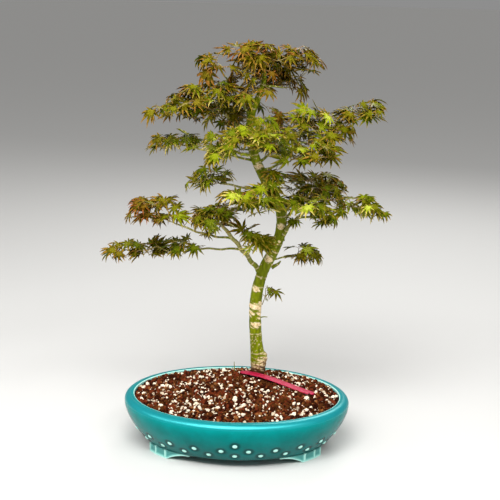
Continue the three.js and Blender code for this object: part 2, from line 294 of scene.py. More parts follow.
# %% [markdown]
# ## The wall, the rim and the floor
#
# The grid starts at the middle of the underside, goes out to the foot of the wall, up the wall, over the
# rounded rim, down the inside and back to the middle of the floor, so the shell is closed. Round each boss
# the wall has a shallow moat, where glaze pools dark. How near a point is to a boss is kept as a number on
# the mesh, and so is how thin the glaze runs over an edge, because the finish needs both.

# %% The wall's outline
WALL_ROWS = 64
ROUND_EDGE = 8.5 * MM
INNER_EDGE = 0.9 * MM
INNER_WALL = 9 * MM
FLOOR_THICK = 6 * MM


def rounded(inset, z, radius, start, stop, steps):
    """An arc of (inset - radius cos turn, height + radius sin turn): the way an edge is rounded."""
    turn = np.linspace(start, stop, steps)
    return np.stack([inset - radius * np.cos(turn), z + radius * np.sin(turn)], axis=1)


wall_z = np.linspace(base_z + 0.8 * MM, rim_z - ROUND_EDGE, WALL_ROWS)
wall_line = np.stack([wall_inset(wall_z), wall_z], axis=1)
outer_edge = rounded(ROUND_EDGE, rim_z - ROUND_EDGE, ROUND_EDGE, 0, np.pi / 2, 12)[1:]
dish = np.linspace(ROUND_EDGE * 1.15, RIM_WIDTH - INNER_EDGE * 1.5, 6)
rim_top = np.stack([dish, np.full(len(dish), rim_z)], axis=1)
inner_edge = rounded(RIM_WIDTH - INNER_EDGE, rim_z - INNER_EDGE, INNER_EDGE, np.pi / 2, np.pi, 5)
inner_z = np.linspace(rim_z - 4 * MM, base_z + FLOOR_THICK, 14)
inner_line = np.stack([np.maximum(RIM_WIDTH, wall_inset(inner_z) + INNER_WALL), inner_z], axis=1)
underside = np.stack([BASE_INSET + np.array([2.6, 0.5]) * MM, base_z + np.array([0, 0.15]) * MM], axis=1)
profile = np.concatenate([underside, wall_line, outer_edge, rim_top, inner_edge, inner_line])
print("outline of", len(profile), "points")

# %% Carry it round the oval
AROUND = 560
MOAT_RADIUS = 5.2 * MM
MOAT_WIDTH = 1.3 * MM
MOAT_DEPTH = 0.45 * MM


def full_turn(steps):
    """Even angles round a circle, starting at nothing."""
    return np.linspace(0, 2 * np.pi, steps, endpoint=False)


def bell(gap, width):
    """One where the gap is nothing, and less to both sides: e to the power -(gap / width) squared."""
    return np.exp(-((gap / width) ** 2))


angles = full_turn(AROUND)
shell = on_oval(angles[None], profile[:, :1], profile[:, 1:])
first_edge = len(underside) + WALL_ROWS
first_inner = first_edge + len(outer_edge) + len(rim_top)
is_wall = slice(len(underside), first_edge)
wall = shell[is_wall]
boss_gap = np.linalg.norm(wall[:, :, None] - boss_places, axis=-1).min(axis=-1)
moat = bell(boss_gap - MOAT_RADIUS, MOAT_WIDTH)
wall -= (MOAT_DEPTH * moat)[..., None] * wall_normal(angles[None], wall_z[:, None])

pooled = np.zeros(shell.shape[:2])
pooled[is_wall] = bell(boss_gap - MOAT_RADIUS, 1.5 * MOAT_WIDTH)
pooled[is_wall] = np.maximum(pooled[is_wall], np.exp(-(wall_z - base_z) / (1.8 * MM))[:, None])
thin = np.zeros(shell.shape[:2])
thin[first_inner:first_inner + len(inner_edge)] = 1.0
rolled = np.zeros(shell.shape[:2])
over_edge = np.sin(np.linspace(0.15, np.pi - 0.15, len(outer_edge)))
rolled[first_edge:first_edge + len(outer_edge)] = over_edge[:, None]

# %% [markdown]
# The middle of the underside and of the floor are single points, each joined to its ring by triangles.
# Without them the shell would be open there, and an open shell prints and measures badly.

# %% Close the shell and make the piece
def closed_faces(rings, sides):
    """Faces of a row of rings, closed by fans to two points numbered after them: one before, one beyond."""
    ring, count = np.arange(sides), rings * sides
    ahead = np.roll(ring, -1)
    start = np.stack([np.full(sides, count), ahead, ring], axis=1)
    end = np.stack([np.full(sides, count + 1), ring + count - sides, ahead + count - sides], axis=1)
    return [grid_faces(rings, sides), start, end]


def with_poles(grid, first, last):
    """Points and faces of a grid of rings with a point before it and one beyond it."""
    return np.concatenate([grid.reshape(-1, 3), [first, last]]), closed_faces(*grid.shape[:2])


shell_points, shell_faces = with_poles(shell, (0, 0, base_z), (0, 0, base_z + FLOOR_THICK))
pot = make_piece("pot_shell", shell_points, shell_faces, attributes={
    "pooled": np.append(pooled, [0, 0]),
    "thin": np.append(thin, [0, 0]),
    "rolled": np.append(rolled, [0, 0]),
})
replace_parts(pot, "pot_body")

# %% [markdown]
# ## The bosses themselves
#
# A boss is a low dome, so one dome is a grid of rings and spokes: its height is one minus the square of the
# distance from the middle, to a power that rounds its shoulder. All of them are made at once by setting the
# same dome on each place, turned to face along the wall's normal.

# %% Build the bosses
BOSS_RADIUS = 3.5 * MM
BOSS_HEIGHT = 1.7 * MM
BOSS_RINGS = 7
BOSS_SPOKES = 20


def dome_grid(rings, spokes):
    """Rings of a unit dome: radius r from rim to middle and height (1 - r squared) to the power 0.7."""
    radius = np.linspace(1, 0.12, rings)[:, None]
    turn = full_turn(spokes)
    height = np.broadcast_to((1 - radius**2) ** 0.7, (rings, spokes))
    return np.stack([radius * np.cos(turn), radius * np.sin(turn), height], axis=-1)


def square_to(vectors, ways):
    """The part of each vector that is square to a unit vector: v - (v . w) w."""
    return vectors - (vectors * ways).sum(-1, keepdims=True) * ways


def repeat_faces(faces, count, stride):
    """The same faces for each of count copies whose points follow each other, stride points apart."""
    return (faces[None] + (np.arange(count) * stride)[:, None, None]).reshape(-1, faces.shape[1])


dome = dome_grid(BOSS_RINGS, BOSS_SPOKES).reshape(-1, 3)
dome = np.concatenate([dome, [[0, 0, 1]]]) * [BOSS_RADIUS, BOSS_RADIUS, BOSS_HEIGHT]
up_wall = wall_normal(boss_angles, boss_z)
sideways = np.stack([-np.sin(boss_angles), np.cos(boss_angles), 0 * boss_angles], axis=-1)
sideways = unit(square_to(sideways, up_wall))
upwards = np.cross(up_wall, sideways)
axes = np.stack([sideways, upwards, up_wall], axis=1)
bosses_at = boss_places - 0.5 * MM * up_wall
boss_points = np.einsum("pk,bkc->bpc", dome, axes) + bosses_at[:, None]
spoke = np.arange(BOSS_SPOKES)
cap = np.stack([spoke, np.roll(spoke, -1), np.full(BOSS_SPOKES, BOSS_SPOKES)], axis=1)
cap = cap + (BOSS_RINGS - 1) * BOSS_SPOKES
boss_faces = [
    repeat_faces(faces, len(boss_places), len(dome))
    for faces in (grid_faces(BOSS_RINGS, BOSS_SPOKES), cap)
]
bosses = make_piece("pot_bosses", boss_points.reshape(-1, 3), boss_faces, attributes={
    "pooled": np.tile(np.clip(1 - dome[:, 2] / (0.7 * BOSS_HEIGHT), 0, 1), len(boss_places)),
    "thin": np.tile(np.clip(dome[:, 2] / (0.5 * BOSS_HEIGHT), 0, 1), len(boss_places)),
})

# %% [markdown]
# ## The feet
#
# Each foot is a short arc of the oval. It stands square at its outer end, is flat on the table as far as
# its tip, and then draws up into a thin wing under the pot. Its face has ribs and a raised border with
# sunken panels between. A foot's section is a closed loop of points, and the loop is carried along the arc
# in degrees from the pot's long axis. One foot serves all four corners: the others are its mirror images,
# with the faces turned round where the mirror turns them inside out.

# %% Shape of one foot
FOOT_START = 25.5
FOOT_TIP = 45.5
FOOT_END = 62.0
FOOT_RIBS = (26.2, 33.6, 43.4)
FOOT_ROWS = 90
RIB_WIDTH = 0.85
FACE_POINTS = 22
BORDER_WIDTH = 1.9 * MM
PANEL_DEPTH = 1.2 * MM
WING_THICK = 1.2 * MM
FOOT_DEPTH, WING_DEPTH = 15 * MM, 6 * MM


def foot_arrays():
    """Rings of a foot: outer face from top to bottom, underside, inner face, and back along the top."""
    turn = np.linspace(FOOT_START, FOOT_END, FOOT_ROWS)[:, None]
    wing = np.clip((turn - FOOT_TIP) / (FOOT_END - FOOT_TIP), 0, 1)
    low = (base_z - WING_THICK) * (1 - (1 - wing) ** 2.2)
    down = np.linspace(0, 1, FACE_POINTS)[None]
    face_z = base_z + (low - base_z) * down
    above_edge = face_z - low
    rib = bell(turn - np.array(FOOT_RIBS), RIB_WIDTH).max(axis=1, keepdims=True)
    rib = rib * np.clip(above_edge / (2 * MM), 0, 1)
    raised = np.maximum(rib * (1 - wing), bell(above_edge, BORDER_WIDTH))
    top_fade = np.clip((base_z - face_z) / (2.0 * MM), 0, 1)
    sunk = PANEL_DEPTH * (1 - raised) * top_fade * (1 - 0.5 * wing)
    outer = BASE_INSET - 1.5 * MM * (1 - wing) + sunk
    deep = BASE_INSET + FOOT_DEPTH * (1 - wing) + WING_DEPTH * wing
    across = np.linspace(0.06, 1, 8)[None]
    under_in = outer[:, -1:] + (deep - outer[:, -1:]) * across
    back_in = np.broadcast_to(deep, (FOOT_ROWS, 4))
    back_z = low + (base_z - low) * np.linspace(0.25, 1, 4)[None]
    inset = np.concatenate([outer, under_in, back_in], axis=1)
    z = np.concatenate([face_z, np.broadcast_to(low, under_in.shape), back_z], axis=1)
    pale = np.zeros(inset.shape)
    pale[:, :FACE_POINTS] = 0.16 + 0.84 * raised
    pale[:, FACE_POINTS:FACE_POINTS + 2] = 1.0
    return on_oval(np.radians(turn), inset, z), pale


# %% Build the four feet
foot_grid, foot_pale = foot_arrays()
foot_points, foot_faces = with_poles(foot_grid, foot_grid[0].mean(axis=0), foot_grid[-1].mean(axis=0))
foot_numbers = {
    "pooled": np.append(np.clip((foot_grid[..., 2] - base_z + 1.6 * MM) / (1.6 * MM), 0, 1), [0, 0]),
    "thin": np.append(foot_pale, [0.6, 0.6]),
}
feet = []
for depth, sign_y in (("front", -1), ("back", 1)):
    for end, sign_x in (("left", -1), ("right", 1)):
        turned = [f if sign_x * sign_y < 0 else f[:, ::-1] for f in foot_faces]
        foot = make_piece(
            f"pot_foot_{depth}_{end}", foot_points * [sign_x, sign_y, 1], turned, attributes=foot_numbers)
        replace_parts(foot, f"foot_{depth}_{end}")
        feet.append(foot)

# %% [markdown]
# ## Turquoise glaze
#
# Glaze is a thin coat of coloured glass. It is bright turquoise high on the wall and darker low down,
# partly the glaze's own change and partly painted shade where the wall turns in under its belly. It is dark
# green where it pools, and pale mint where it runs thin over an edge or a boss. The colour is built from
# the height, a slow mottle, and the numbers kept on the mesh. The glaze is thickest and glossiest on the
# rolled edge of the rim, so its shine follows that number too, and a bump adds a faint waviness so that
# highlights aren't ruler-straight.

# %% Make the glaze
glaze = finish_of(
    "turquoise_glaze", (0, 140, 138), 0.25,
    IOR=2.0, Specular_IOR_Level=0.25, Specular_Tint=(0.16, 1, 1, 1))
height = add_node(glaze, "ShaderNodeSeparateXYZ")
place = add_node(glaze, "ShaderNodeTexCoord")
join(glaze, place.outputs["Object"], height.inputs["Vector"])
level = mapped(glaze, height.outputs["Z"], From_Min=base_z, From_Max=rim_z)
# Darker towards the foot of the wall: partly the glaze's own tone, partly painted shade where the wall
# turns under.
tone_and_shade_by_height = ramp(glaze, level, [
    (0.0, (0, 74, 70)), (0.3, (0, 94, 90)), (0.72, (0, 122, 118)), (0.9, (0, 138, 136)),
    (1.0, (0, 134, 138)),
])
mottle = ramp(glaze, noise_on(glaze, 38, detail=6, roughness=0.6, distortion=0.4), [
    (0.3, (0, 92, 88)), (0.72, (0, 156, 156)),
])
mottled = blend_colours(glaze, 0.3, tone_and_shade_by_height, mottle)
with_pools = blend_colours(glaze, attribute(glaze, "pooled"), mottled, (0, 62, 60))
with_roll = blend_colours(glaze, attribute(glaze, "rolled"), with_pools, (0, 128, 136))
thinning = mapped(glaze, attribute(glaze, "thin"), From_Max=0.3)
with_thinning = blend_colours(glaze, thinning, with_roll, (14, 146, 142))
with_edges = blend_colours(glaze, attribute(glaze, "thin"), with_thinning, (190, 242, 230))
to_shader(glaze, with_edges)
for socket, at_rest, on_the_roll in (("Specular IOR Level", 0.05, 1.0), ("Roughness", 0.25, 0.36)):
    shine = mapped(glaze, attribute(glaze, "rolled"), To_Min=at_rest, To_Max=on_the_roll)
    to_shader(glaze, shine, socket)
roughen(glaze, 140, 2, 0.12, 0.4 * MM)
for piece in (pot, bosses, *feet):
    piece.data.materials.append(glaze)
print("glazed", 2 + len(feet), "pieces")

# %% [markdown]
# ## The bed under the granules
#
# The soil's solid gives the mound. A copy of its upper surface lies just under the granules, so that no gap
# between them shows the inside of the pot. Heights are found by dropping a ray onto the solid from above,
# which works for any shape of mound.

# %% Drop points onto the mound
def search_tree(points, triangles):
    """A tree that finds quickly where a ray or a place meets a surface."""
    return BVHTree.FromPolygons(points.tolist(), triangles.tolist())


def drop_onto(tree, places):
    """Where rays from above the rim at each (x, y) meet the surface, with None for a miss."""
    return [tree.ray_cast((x, y, rim_z + 0.1), (0, 0, -1))[0] for x, y in places]


soil_tree = search_tree(*solid("soil"))
MOUND_EDGE = rim_z - 2 * MM


def mound_height(places):
    """The height of the mound under each (x, y); the mound's edge where the ray misses it."""
    return np.array([MOUND_EDGE if hit is None else hit.z for hit in drop_onto(soil_tree, places)])


def washed_down(y):
    """How far the mix has sunk behind the trunk: nothing up to 60 mm back, and 2.6 mm from 90 mm on."""
    return 2.6 * MM * np.clip((y - 60 * MM) / (30 * MM), 0, 1)


BED_ROWS = 30
BED_AROUND = 120
BED_SINK = 1.6 * MM
BED_BOTTOM = rim_z - 14 * MM
share = np.linspace(1, 0.02, BED_ROWS)[:, None]
bed = on_oval(full_turn(BED_AROUND), RIM_WIDTH + 0.4 * MM, 0.0) * share[..., None]
bed_heights = mound_height(bed[..., :2].reshape(-1, 2)).reshape(BED_ROWS, BED_AROUND)
lumps = np.random.default_rng(11).normal(0, 0.5 * MM, bed_heights.shape)
bed[..., 2] = bed_heights - BED_SINK + lumps - washed_down(bed[..., 1])
bed = np.concatenate([bed[:1] * [1, 1, 0] + [0, 0, BED_BOTTOM], bed])
bed_points, bed_faces = with_poles(bed, (0, 0, BED_BOTTOM), bed[-1].mean(axis=0))
soil_bed = make_piece("soil_bed", bed_points, bed_faces)
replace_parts(soil_bed, "soil")
damp_earth = finish_of("damp_earth", (52, 26, 20), 0.95, Specular_IOR_Level=0.05)
earth_tint = ramp(damp_earth, noise_on(damp_earth, 600, detail=6), [
    (0.3, (24, 10, 6)), (0.7, (72, 34, 22)),
])
to_shader(damp_earth, earth_tint)
roughen(damp_earth, 900, 5, 0.6, 1.0 * MM)
soil_bed.data.materials.append(damp_earth)

# %% [markdown]
# ## Loose granules
#
# The planting mix is broken lava and bark, with pale pumice scattered through it. A granule is a ball of
# twenty faces whose corners are pushed in and out, stretched along three random axes and turned at random.
# With so few faces each stays cheap, and flat shading gives the sharp facets of broken stone. Thousands are
# scattered evenly over the oval, a little more pumice towards the front right, and sorted by colour into
# joined pieces. Behind the trunk the mix has washed down a little, so it lies lower against the rim there,
# and under the label it is pressed down.

# %% One granule, and random turns
def icosahedron():
    """The twelve corners of a regular solid and its twenty triangles, whose corners are 2 apart."""
    golden = (1 + 5**0.5) / 2
    corners = []
    for a in (-1, 1):
        for b in (-golden, golden):
            corners += [(0, a, b), (a, b, 0), (b, 0, a)]
    corners = np.array(corners)
    gaps = np.linalg.norm(corners[:, None] - corners[None], axis=-1)
    near = np.abs(gaps - 2) < 0.01
    faces = np.array([
        (i, j, k)
        for i in range(12) for j in range(i + 1, 12) for k in range(j + 1, 12)
        if near[i, j] and near[j, k] and near[i, k]
    ])
    first, second, third = (corners[faces[:, k]] for k in range(3))
    inside_out = (np.cross(second - first, third - first) * first).sum(-1) < 0
    faces[inside_out] = faces[inside_out][:, ::-1]
    return corners / np.linalg.norm(corners[0]), faces


def random_turns(rng, count):
    """Random rotation matrices, from unit quaternions drawn evenly."""
    w, x, y, z = (q := rng.normal(size=(4, count))) / np.linalg.norm(q, axis=0)
    return np.stack([
        np.stack([1 - 2 * (y * y + z * z), 2 * (x * y - z * w), 2 * (x * z + y * w)], axis=-1),
        np.stack([2 * (x * y + z * w), 1 - 2 * (x * x + z * z), 2 * (y * z - x * w)], axis=-1),
        np.stack([2 * (x * z - y * w), 2 * (y * z + x * w), 1 - 2 * (x * x + y * y)], axis=-1),
    ], axis=1)


# %% Scatter the granules
GRANULES = 6600
PRESSED_DOWN = 2.4 * MM
granule_rng = np.random.default_rng(23)
ball, ball_faces = icosahedron()
turn = granule_rng.uniform(0, 2 * np.pi, GRANULES)
out = np.sqrt(granule_rng.uniform(0, 1, GRANULES)) * 0.985
spots = on_oval(turn, RIM_WIDTH + 1.5 * MM, 0.0)[:, :2] * out[:, None]
size = np.clip(granule_rng.lognormal(np.log(1.95), 0.36, GRANULES), 0.9, 3.9) * MM
stretch = granule_rng.uniform(0.62, 1.25, (GRANULES, 1, 3))
chips = granule_rng.uniform(0.72, 1.18, (GRANULES, len(ball), 1))
chipped = ball[None] * chips * stretch * size[:, None, None]
tumbled = np.einsum("gpk,gck->gpc", chipped, random_turns(granule_rng, GRANULES))
label_hits = drop_onto(search_tree(*solid("plant_label")), spots)
under_label = np.array([hit is not None for hit in label_hits])
settled = washed_down(spots[:, 1]) + PRESSED_DOWN * under_label
heights = mound_height(spots) - 0.9 * MM + granule_rng.uniform(0, 1.5, GRANULES) * MM - settled
granules = tumbled + np.concatenate([spots, heights[:, None]], axis=1)[:, None]
print(GRANULES, "granules,", int(under_label.sum()), "of them under the label")

# %% Sort them by colour
GRANULE_TINTS = {
    "lava_dark": ((48, 17, 3), 0.27),
    "lava_red": ((102, 43, 20), 0.22),
    "bark_brown": ((78, 41, 14), 0.26),
    "clay_tan": ((134, 84, 44), 0.08),
    "pumice_grey": ((204, 186, 160), 0.05),
    "pumice_cream": ((250, 234, 208), 0.12),
}
lot = granule_rng.uniform(0, 1, GRANULES)
towards_right = np.clip((spots[:, 0] / half_x - spots[:, 1] / half_y) / 2, -1, 1)
lot = np.clip(lot + 0.05 * towards_right * (size > 1.5 * MM), 0, 0.9999)
lot = np.where(size < 1.4 * MM, lot * 0.86, lot)
bounds_of_lot = np.cumsum([share for _, share in GRANULE_TINTS.values()])
kind_of = np.searchsorted(bounds_of_lot, lot)
for number, (tint, (colour, _)) in enumerate(GRANULE_TINTS.items()):
    chosen = granules[kind_of == number]
    faces = repeat_faces(ball_faces, len(chosen), len(ball))
    piece = make_piece(f"granules_{tint}", chosen.reshape(-1, 3), [faces], smooth=False)
    piece.data.materials.append(finish_of(tint, colour, 0.92, Specular_IOR_Level=0.06))

# %% [markdown]
# ## Reading a limb's middle line
#
# The trunk and the boughs are to be replaced by rounder limbs that follow the same lines. Cutting a solid
# with a plane gives the outline of its section: the plane crosses some of its edges, and the crossings lie
# round the limb's middle, one radius from it. A row of such cuts gives a path and its radii.

# %% Cut a solid with planes
FOR_THE_FLATS = 1.03


def middle_of(points):
    """The middle of the box round some points."""
    return (points.max(axis=0) + points.min(axis=0)) / 2


def section(points, triangles, origin, normal, reach):
    """Middle and radius of the cut by a plane, counting only crossings within reach of its origin.

    An edge from a to b, at depths da and db beyond the plane, is crossed at a + (b - a) da / (da - db). The
    radius is the crossings' mean distance from their middle, a little more because of the solid's flats.
    """
    depth = (points - origin) @ normal
    edges = triangles[:, [0, 1, 1, 2, 2, 0]].reshape(-1, 2)
    da, db = depth[edges[:, 0]], depth[edges[:, 1]]
    crosses = (da * db) < 0
    a, b = points[edges[crosses, 0]], points[edges[crosses, 1]]
    cut = a + (b - a) * (da / (da - db + 1e-30))[crosses, None]
    cut = cut[np.linalg.norm(cut - origin, axis=1) < reach]
    middle = middle_of(cut)
    return middle, np.linalg.norm(cut - middle, axis=1).mean() * FOR_THE_FLATS


def smoothed(values, times):
    """Each value moved towards the mean of its neighbours, (before + 2 here + after) / 4, ends kept."""
    values = values.copy()
    for _ in range(times):
        values[1:-1] = (values[:-2] + 2 * values[1:-1] + values[2:]) / 4
    return values


def limb_line(points, triangles, start, end, cuts, reach):
    """Middle line and radii of a limb by cuts square to the chord between its ends, then to the line."""
    chord = end - start
    origins = start + np.linspace(0.04, 0.96, cuts)[:, None] * chord
    normals = np.broadcast_to(chord / np.linalg.norm(chord), origins.shape)
    for _ in range(2):
        found = [section(points, triangles, o, n, reach) for o, n in zip(origins, normals)]
        origins = smoothed(np.array([middle for middle, _ in found]), 1)
        normals = unit(np.gradient(origins, axis=0))
    return origins, np.array([radius for _, radius in found])


# %% [markdown]
# The trunk bends in an S, so its cuts are made level first and square to the line afterwards. The two ends
# are then set to the solid's own lowest and highest points, where no plane crosses it fully.

# %% The trunk's line
trunk_points, trunk_triangles = solid("trunk")
trunk_foot_z, trunk_top_z = trunk_points[:, 2].min(), trunk_points[:, 2].max()
trunk_foot = middle_of(trunk_points[trunk_points[:, 2] < trunk_foot_z + 1e-5])
trunk_top = trunk_points[trunk_points[:, 2].argmax()]
LEVEL_REACH, SQUARE_REACH = 60 * MM, 22 * MM


def level_line(cuts):
    """Middles of level cuts up the trunk."""
    middles = [trunk_foot]
    for z in np.linspace(trunk_foot_z + 1 * MM, trunk_top_z - 3 * MM, cuts):
        guess = np.array([*middles[-1][:2], z])
        middles.append(section(trunk_points, trunk_triangles, guess, np.array([0, 0, 1.0]), LEVEL_REACH)[0])
    return np.array(middles[1:])


trunk_line = smoothed(level_line(70), 3)
trunk_radii = smoothed(np.array([
    section(trunk_points, trunk_triangles, origin, way, SQUARE_REACH)[1]
    for origin, way in zip(trunk_line, unit(np.gradient(trunk_line, axis=0)))
]), 1)
trunk_line = np.concatenate([[trunk_foot], trunk_line, [trunk_top]])
trunk_radii = np.concatenate([[trunk_radii[0]], trunk_radii, [trunk_radii[-1] * 0.8]])
print("trunk", round(trunk_radii.max() * 2000, 1), "mm at its widest")

# %% [markdown]
# A bough starts at the end that lies nearer to the trunk. Its line is carried back into the limb that bears
# it, so that no gap shows at the fork, and on into its mass of leaves, thinning as it goes.

# %% The boughs' lines
bough_names = sorted(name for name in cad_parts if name.startswith("bough_"))
CARRY_BACK = 5 * MM
CARRY_ON = 16 * MM
BOUGH_CUTS = 14
BOUGH_REACH = 9 * MM


def trunk_gap(points):
    """Distance from each point to the nearest point of the trunk's line."""
    return np.linalg.norm(points[:, None] - trunk_line[None], axis=-1).min(axis=1)


def bough_line(name):
    """The bough's line and radii from its own solid, carried back and on along its end directions."""
    points, triangles = solid(name)
    middle = points.mean(axis=0)
    _, _, ways = np.linalg.svd(points - middle, full_matrices=False)
    along = (points - middle) @ ways[0]
    ends = np.array([points[along < along.min() + 2 * MM].mean(axis=0),
                     points[along > along.max() - 2 * MM].mean(axis=0)])
    start, end = ends if trunk_gap(ends[:1]) <= trunk_gap(ends[1:]) else ends[::-1]
    line, radii = limb_line(points, triangles, start, end, BOUGH_CUTS, BOUGH_REACH)
    girths = [np.median(radii[:4]), np.median(radii[-4:])]
    radii = np.interp(np.arange(BOUGH_CUTS), [1, BOUGH_CUTS - 2], girths)
    back = line[0] - line[1]
    on = line[-1] - line[-2]
    first = line[0] + back / np.linalg.norm(back) * CARRY_BACK
    last = [line[-1] + on / np.linalg.norm(on) * CARRY_ON * share for share in (0.5, 1)]
    line = np.concatenate([[first], line, last])
    radii = np.concatenate([[radii[0] * 1.12], radii, radii[-1] * np.array([0.8, 0.55])])
    return smoothed(line, 2), radii


bough_lines = {name: bough_line(name) for name in bough_names}
spans = [np.linalg.norm(line[-1] - line[0]) for line, _ in bough_lines.values()]
print(len(bough_lines), "boughs, the longest", round(max(spans) * 1000), "mm from end to end")

# %% [markdown]
# ## Carrying rings along a path
#
# A limb, a twig and a leaf stalk are all the same surface: rings square to a path. One function makes any
# number of them at once, as long as they have the same number of rings. Each ring lies in two directions
# square to the path: one is a fixed side direction with its share along the path taken out, and the other
# is the cross product of the path's direction with it.

# %% Tubes along paths
def tubes(paths, radii, sides, side_way):
    """Points and faces of closed tubes: middle + radius (u cos turn + v sin turn), and a point at each end.

    paths is (tubes, rings, 3), and radii is (tubes, rings) or (tubes, rings, sides).
    """
    count, rings = paths.shape[:2]
    way = unit(np.gradient(paths, axis=1))
    u = unit(square_to(np.broadcast_to(np.asarray(side_way, dtype=float), way.shape), way))
    v = np.cross(way, u)
    turn = full_turn(sides)
    radii = radii if radii.ndim == 3 else radii[..., None] * np.ones(sides)
    ways_out = u[:, :, None] * np.cos(turn)[:, None] + v[:, :, None] * np.sin(turn)[:, None]
    rims = paths[:, :, None] + radii[..., None] * ways_out
    points = np.concatenate([rims.reshape(count, -1, 3), paths[:, [0, -1]]], axis=1)
    faces = [repeat_faces(f, count, points.shape[1]) for f in closed_faces(rings, sides)]
    return points.reshape(-1, 3), faces


def resampled(line, radii, spacing):
    """The line and radii at even steps of about the given spacing, smoothed once more."""
    run = np.concatenate([[0], np.cumsum(np.linalg.norm(np.diff(line, axis=0), axis=1))])
    steps = np.linspace(0, run[-1], int(run[-1] / spacing) + 2)
    fine = np.stack([np.interp(steps, run, line[:, k]) for k in range(3)], axis=1)
    return smoothed(fine, 12), np.interp(steps, run, radii), steps


# %% [markdown]
# ## Bark in relief
#
# Young maple bark is smooth and green. What breaks it up are the thin raised rings where buds once sat,
# fine pale dots, corky patches, and the rough pale swelling of the graft near the soil. All of these are
# written as numbers over the grid of (height, turn): each lifts the surface a little, and how pale or
# healed each point is stays on the mesh for the finish, with a darkening of the foot that is partly a stain
# of earth and partly painted shade.

# %% Waves and patches over the trunk
TRUNK_SIDES = 84
TRUNK_STEP = 0.75 * MM
FRONT = 1.5 * np.pi
bark_rng = np.random.default_rng(5)
line, radii, run = resampled(trunk_line, trunk_radii, TRUNK_STEP)
turn = full_turn(TRUNK_SIDES)
up = line[:, 2:] - trunk_foot_z


def waves(rng, count, low, high):
    """A sum of waves over (height, turn) with random phases, mostly -1 to 1, seamless round the limb."""
    total = np.zeros((len(run), TRUNK_SIDES))
    for _ in range(count):
        lobes = rng.integers(1, 7)
        length = rng.uniform(low, high)
        up_phase, round_phase = rng.uniform(0, 6.3), rng.uniform(0, 6.3)
        total += np.sin(run[:, None] / length * 2 * np.pi + up_phase + lobes * turn + round_phase)
    return total / count**0.5


def turned_from(angle):
    """How far round the trunk each column lies from an angle, from minus half a turn to half a turn."""
    return np.arctan2(np.sin(turn - angle), np.cos(turn - angle))


def fade(value):
    """A smooth step down from one to nothing as the value passes zero: 1 / (1 + e to the power value)."""
    return 1 / (1 + np.exp(np.clip(value, -30, 30)))


def patch(height, from_front, half_height, half_turn):
    """One mark: 1 inside an ellipse of height in mm and turn, with a ragged edge, falling to 0 outside."""
    reach = ((up - height * MM) / (half_height * MM)) ** 2
    reach = reach + (turned_from(FRONT + from_front) / half_turn) ** 2
    return fade(9 * (reach + 0.6 * roughness_waves - 1))


# %% Patches and rings
roughness_waves = waves(bark_rng, 14, 2 * MM, 9 * MM)
slow_waves = waves(bark_rng, 8, 14 * MM, 60 * MM)
CORKY_MARKS = (
    (98.5, 0.1, 4.4, 1.9), (104, 1.1, 3.0, 0.6), (88.5, -0.85, 4.0, 0.8), (89, 0.95, 7.5, 0.55),
    (71.7, 0.2, 4.4, 1.0), (123, -0.5, 4.2, 0.75), (167, -0.3, 4.5, 0.85), (214, -0.15, 4.2, 0.75),
    (249, -0.2, 6, 1.2), (295, 0.1, 4, 0.9), (198, 0.6, 2.2, 0.3), (193, 0.2, 1.6, 0.25),
    (140, 2.6, 8, 0.9), (232, 2.9, 6, 0.8), (160, 1.3, 2.6, 0.4),
)
corky = np.max([patch(*mark) for mark in CORKY_MARKS], axis=0)
seen_rings = np.array([30.5, 58.5, 127, 141, 178, 189, 227, 262, 275]) * MM
high_rings = seen_rings[-1] + np.cumsum(bark_rng.uniform(11, 19, 12)) * MM
ring_heights = np.concatenate([seen_rings, high_rings])
ring_gap = np.abs(up[:, :, None] + 0.35 * MM * slow_waves[..., None] - ring_heights).min(axis=-1)
ring_line = bell(ring_gap, 0.6 * MM) * np.clip(0.85 + 0.6 * slow_waves, 0.15, 1)
print(len(CORKY_MARKS), "corky patches and", len(ring_heights), "rings")

# %% Dots, the graft and the foot
DOTS = 280
GRAFT_TOP = 29.5 * MM
BULGE_AT = 25 * MM
BULGE_TOWARDS = 0.2
lot = bark_rng.uniform(size=DOTS)
near_rings = bark_rng.choice(ring_heights, DOTS) + bark_rng.normal(0, 2.2 * MM, DOTS)
low_down = bark_rng.uniform(31 * MM, 57 * MM, DOTS)
anywhere = bark_rng.uniform(20 * MM, up.max() - 20 * MM, DOTS)
dot_heights = np.where(lot < 0.3, near_rings, np.where(lot < 0.6, low_down, anywhere))
dot_turns = bark_rng.uniform(0, 2 * np.pi, DOTS)
dot_sizes = bark_rng.uniform(0.35, 0.9, DOTS) * MM
dots = np.zeros((len(up), TRUNK_SIDES))
for dot_height, dot_turn, dot_size in zip(dot_heights, dot_turns, dot_sizes):
    around = turned_from(dot_turn) * radii[:, None]
    dots = np.maximum(dots, np.exp(-((up - dot_height) ** 2 + around**2) / dot_size**2))
bulge = bell(up - BULGE_AT, np.where(up > BULGE_AT, 3.4 * MM, 8 * MM))
bulge = bulge * np.clip(np.cos(turn - BULGE_TOWARDS), 0, 1) ** 1.5
healed = 0.65 + 0.8 * np.cos(turn - BULGE_TOWARDS) + (20 * MM - up) / (9 * MM)
graft = fade((up - GRAFT_TOP) / (0.7 * MM)) * np.clip(healed + 0.7 * roughness_waves, 0, 1)
# The very foot is darker: partly a stain of damp earth, partly painted shade where the trunk meets the
# soil.
earth_stain_and_shade = fade((up - (10.5 + 5.5 * roughness_waves) * MM) / (1.3 * MM))
print(DOTS, "dots, and a graft", round(GRAFT_TOP * 1000, 1), "mm high")

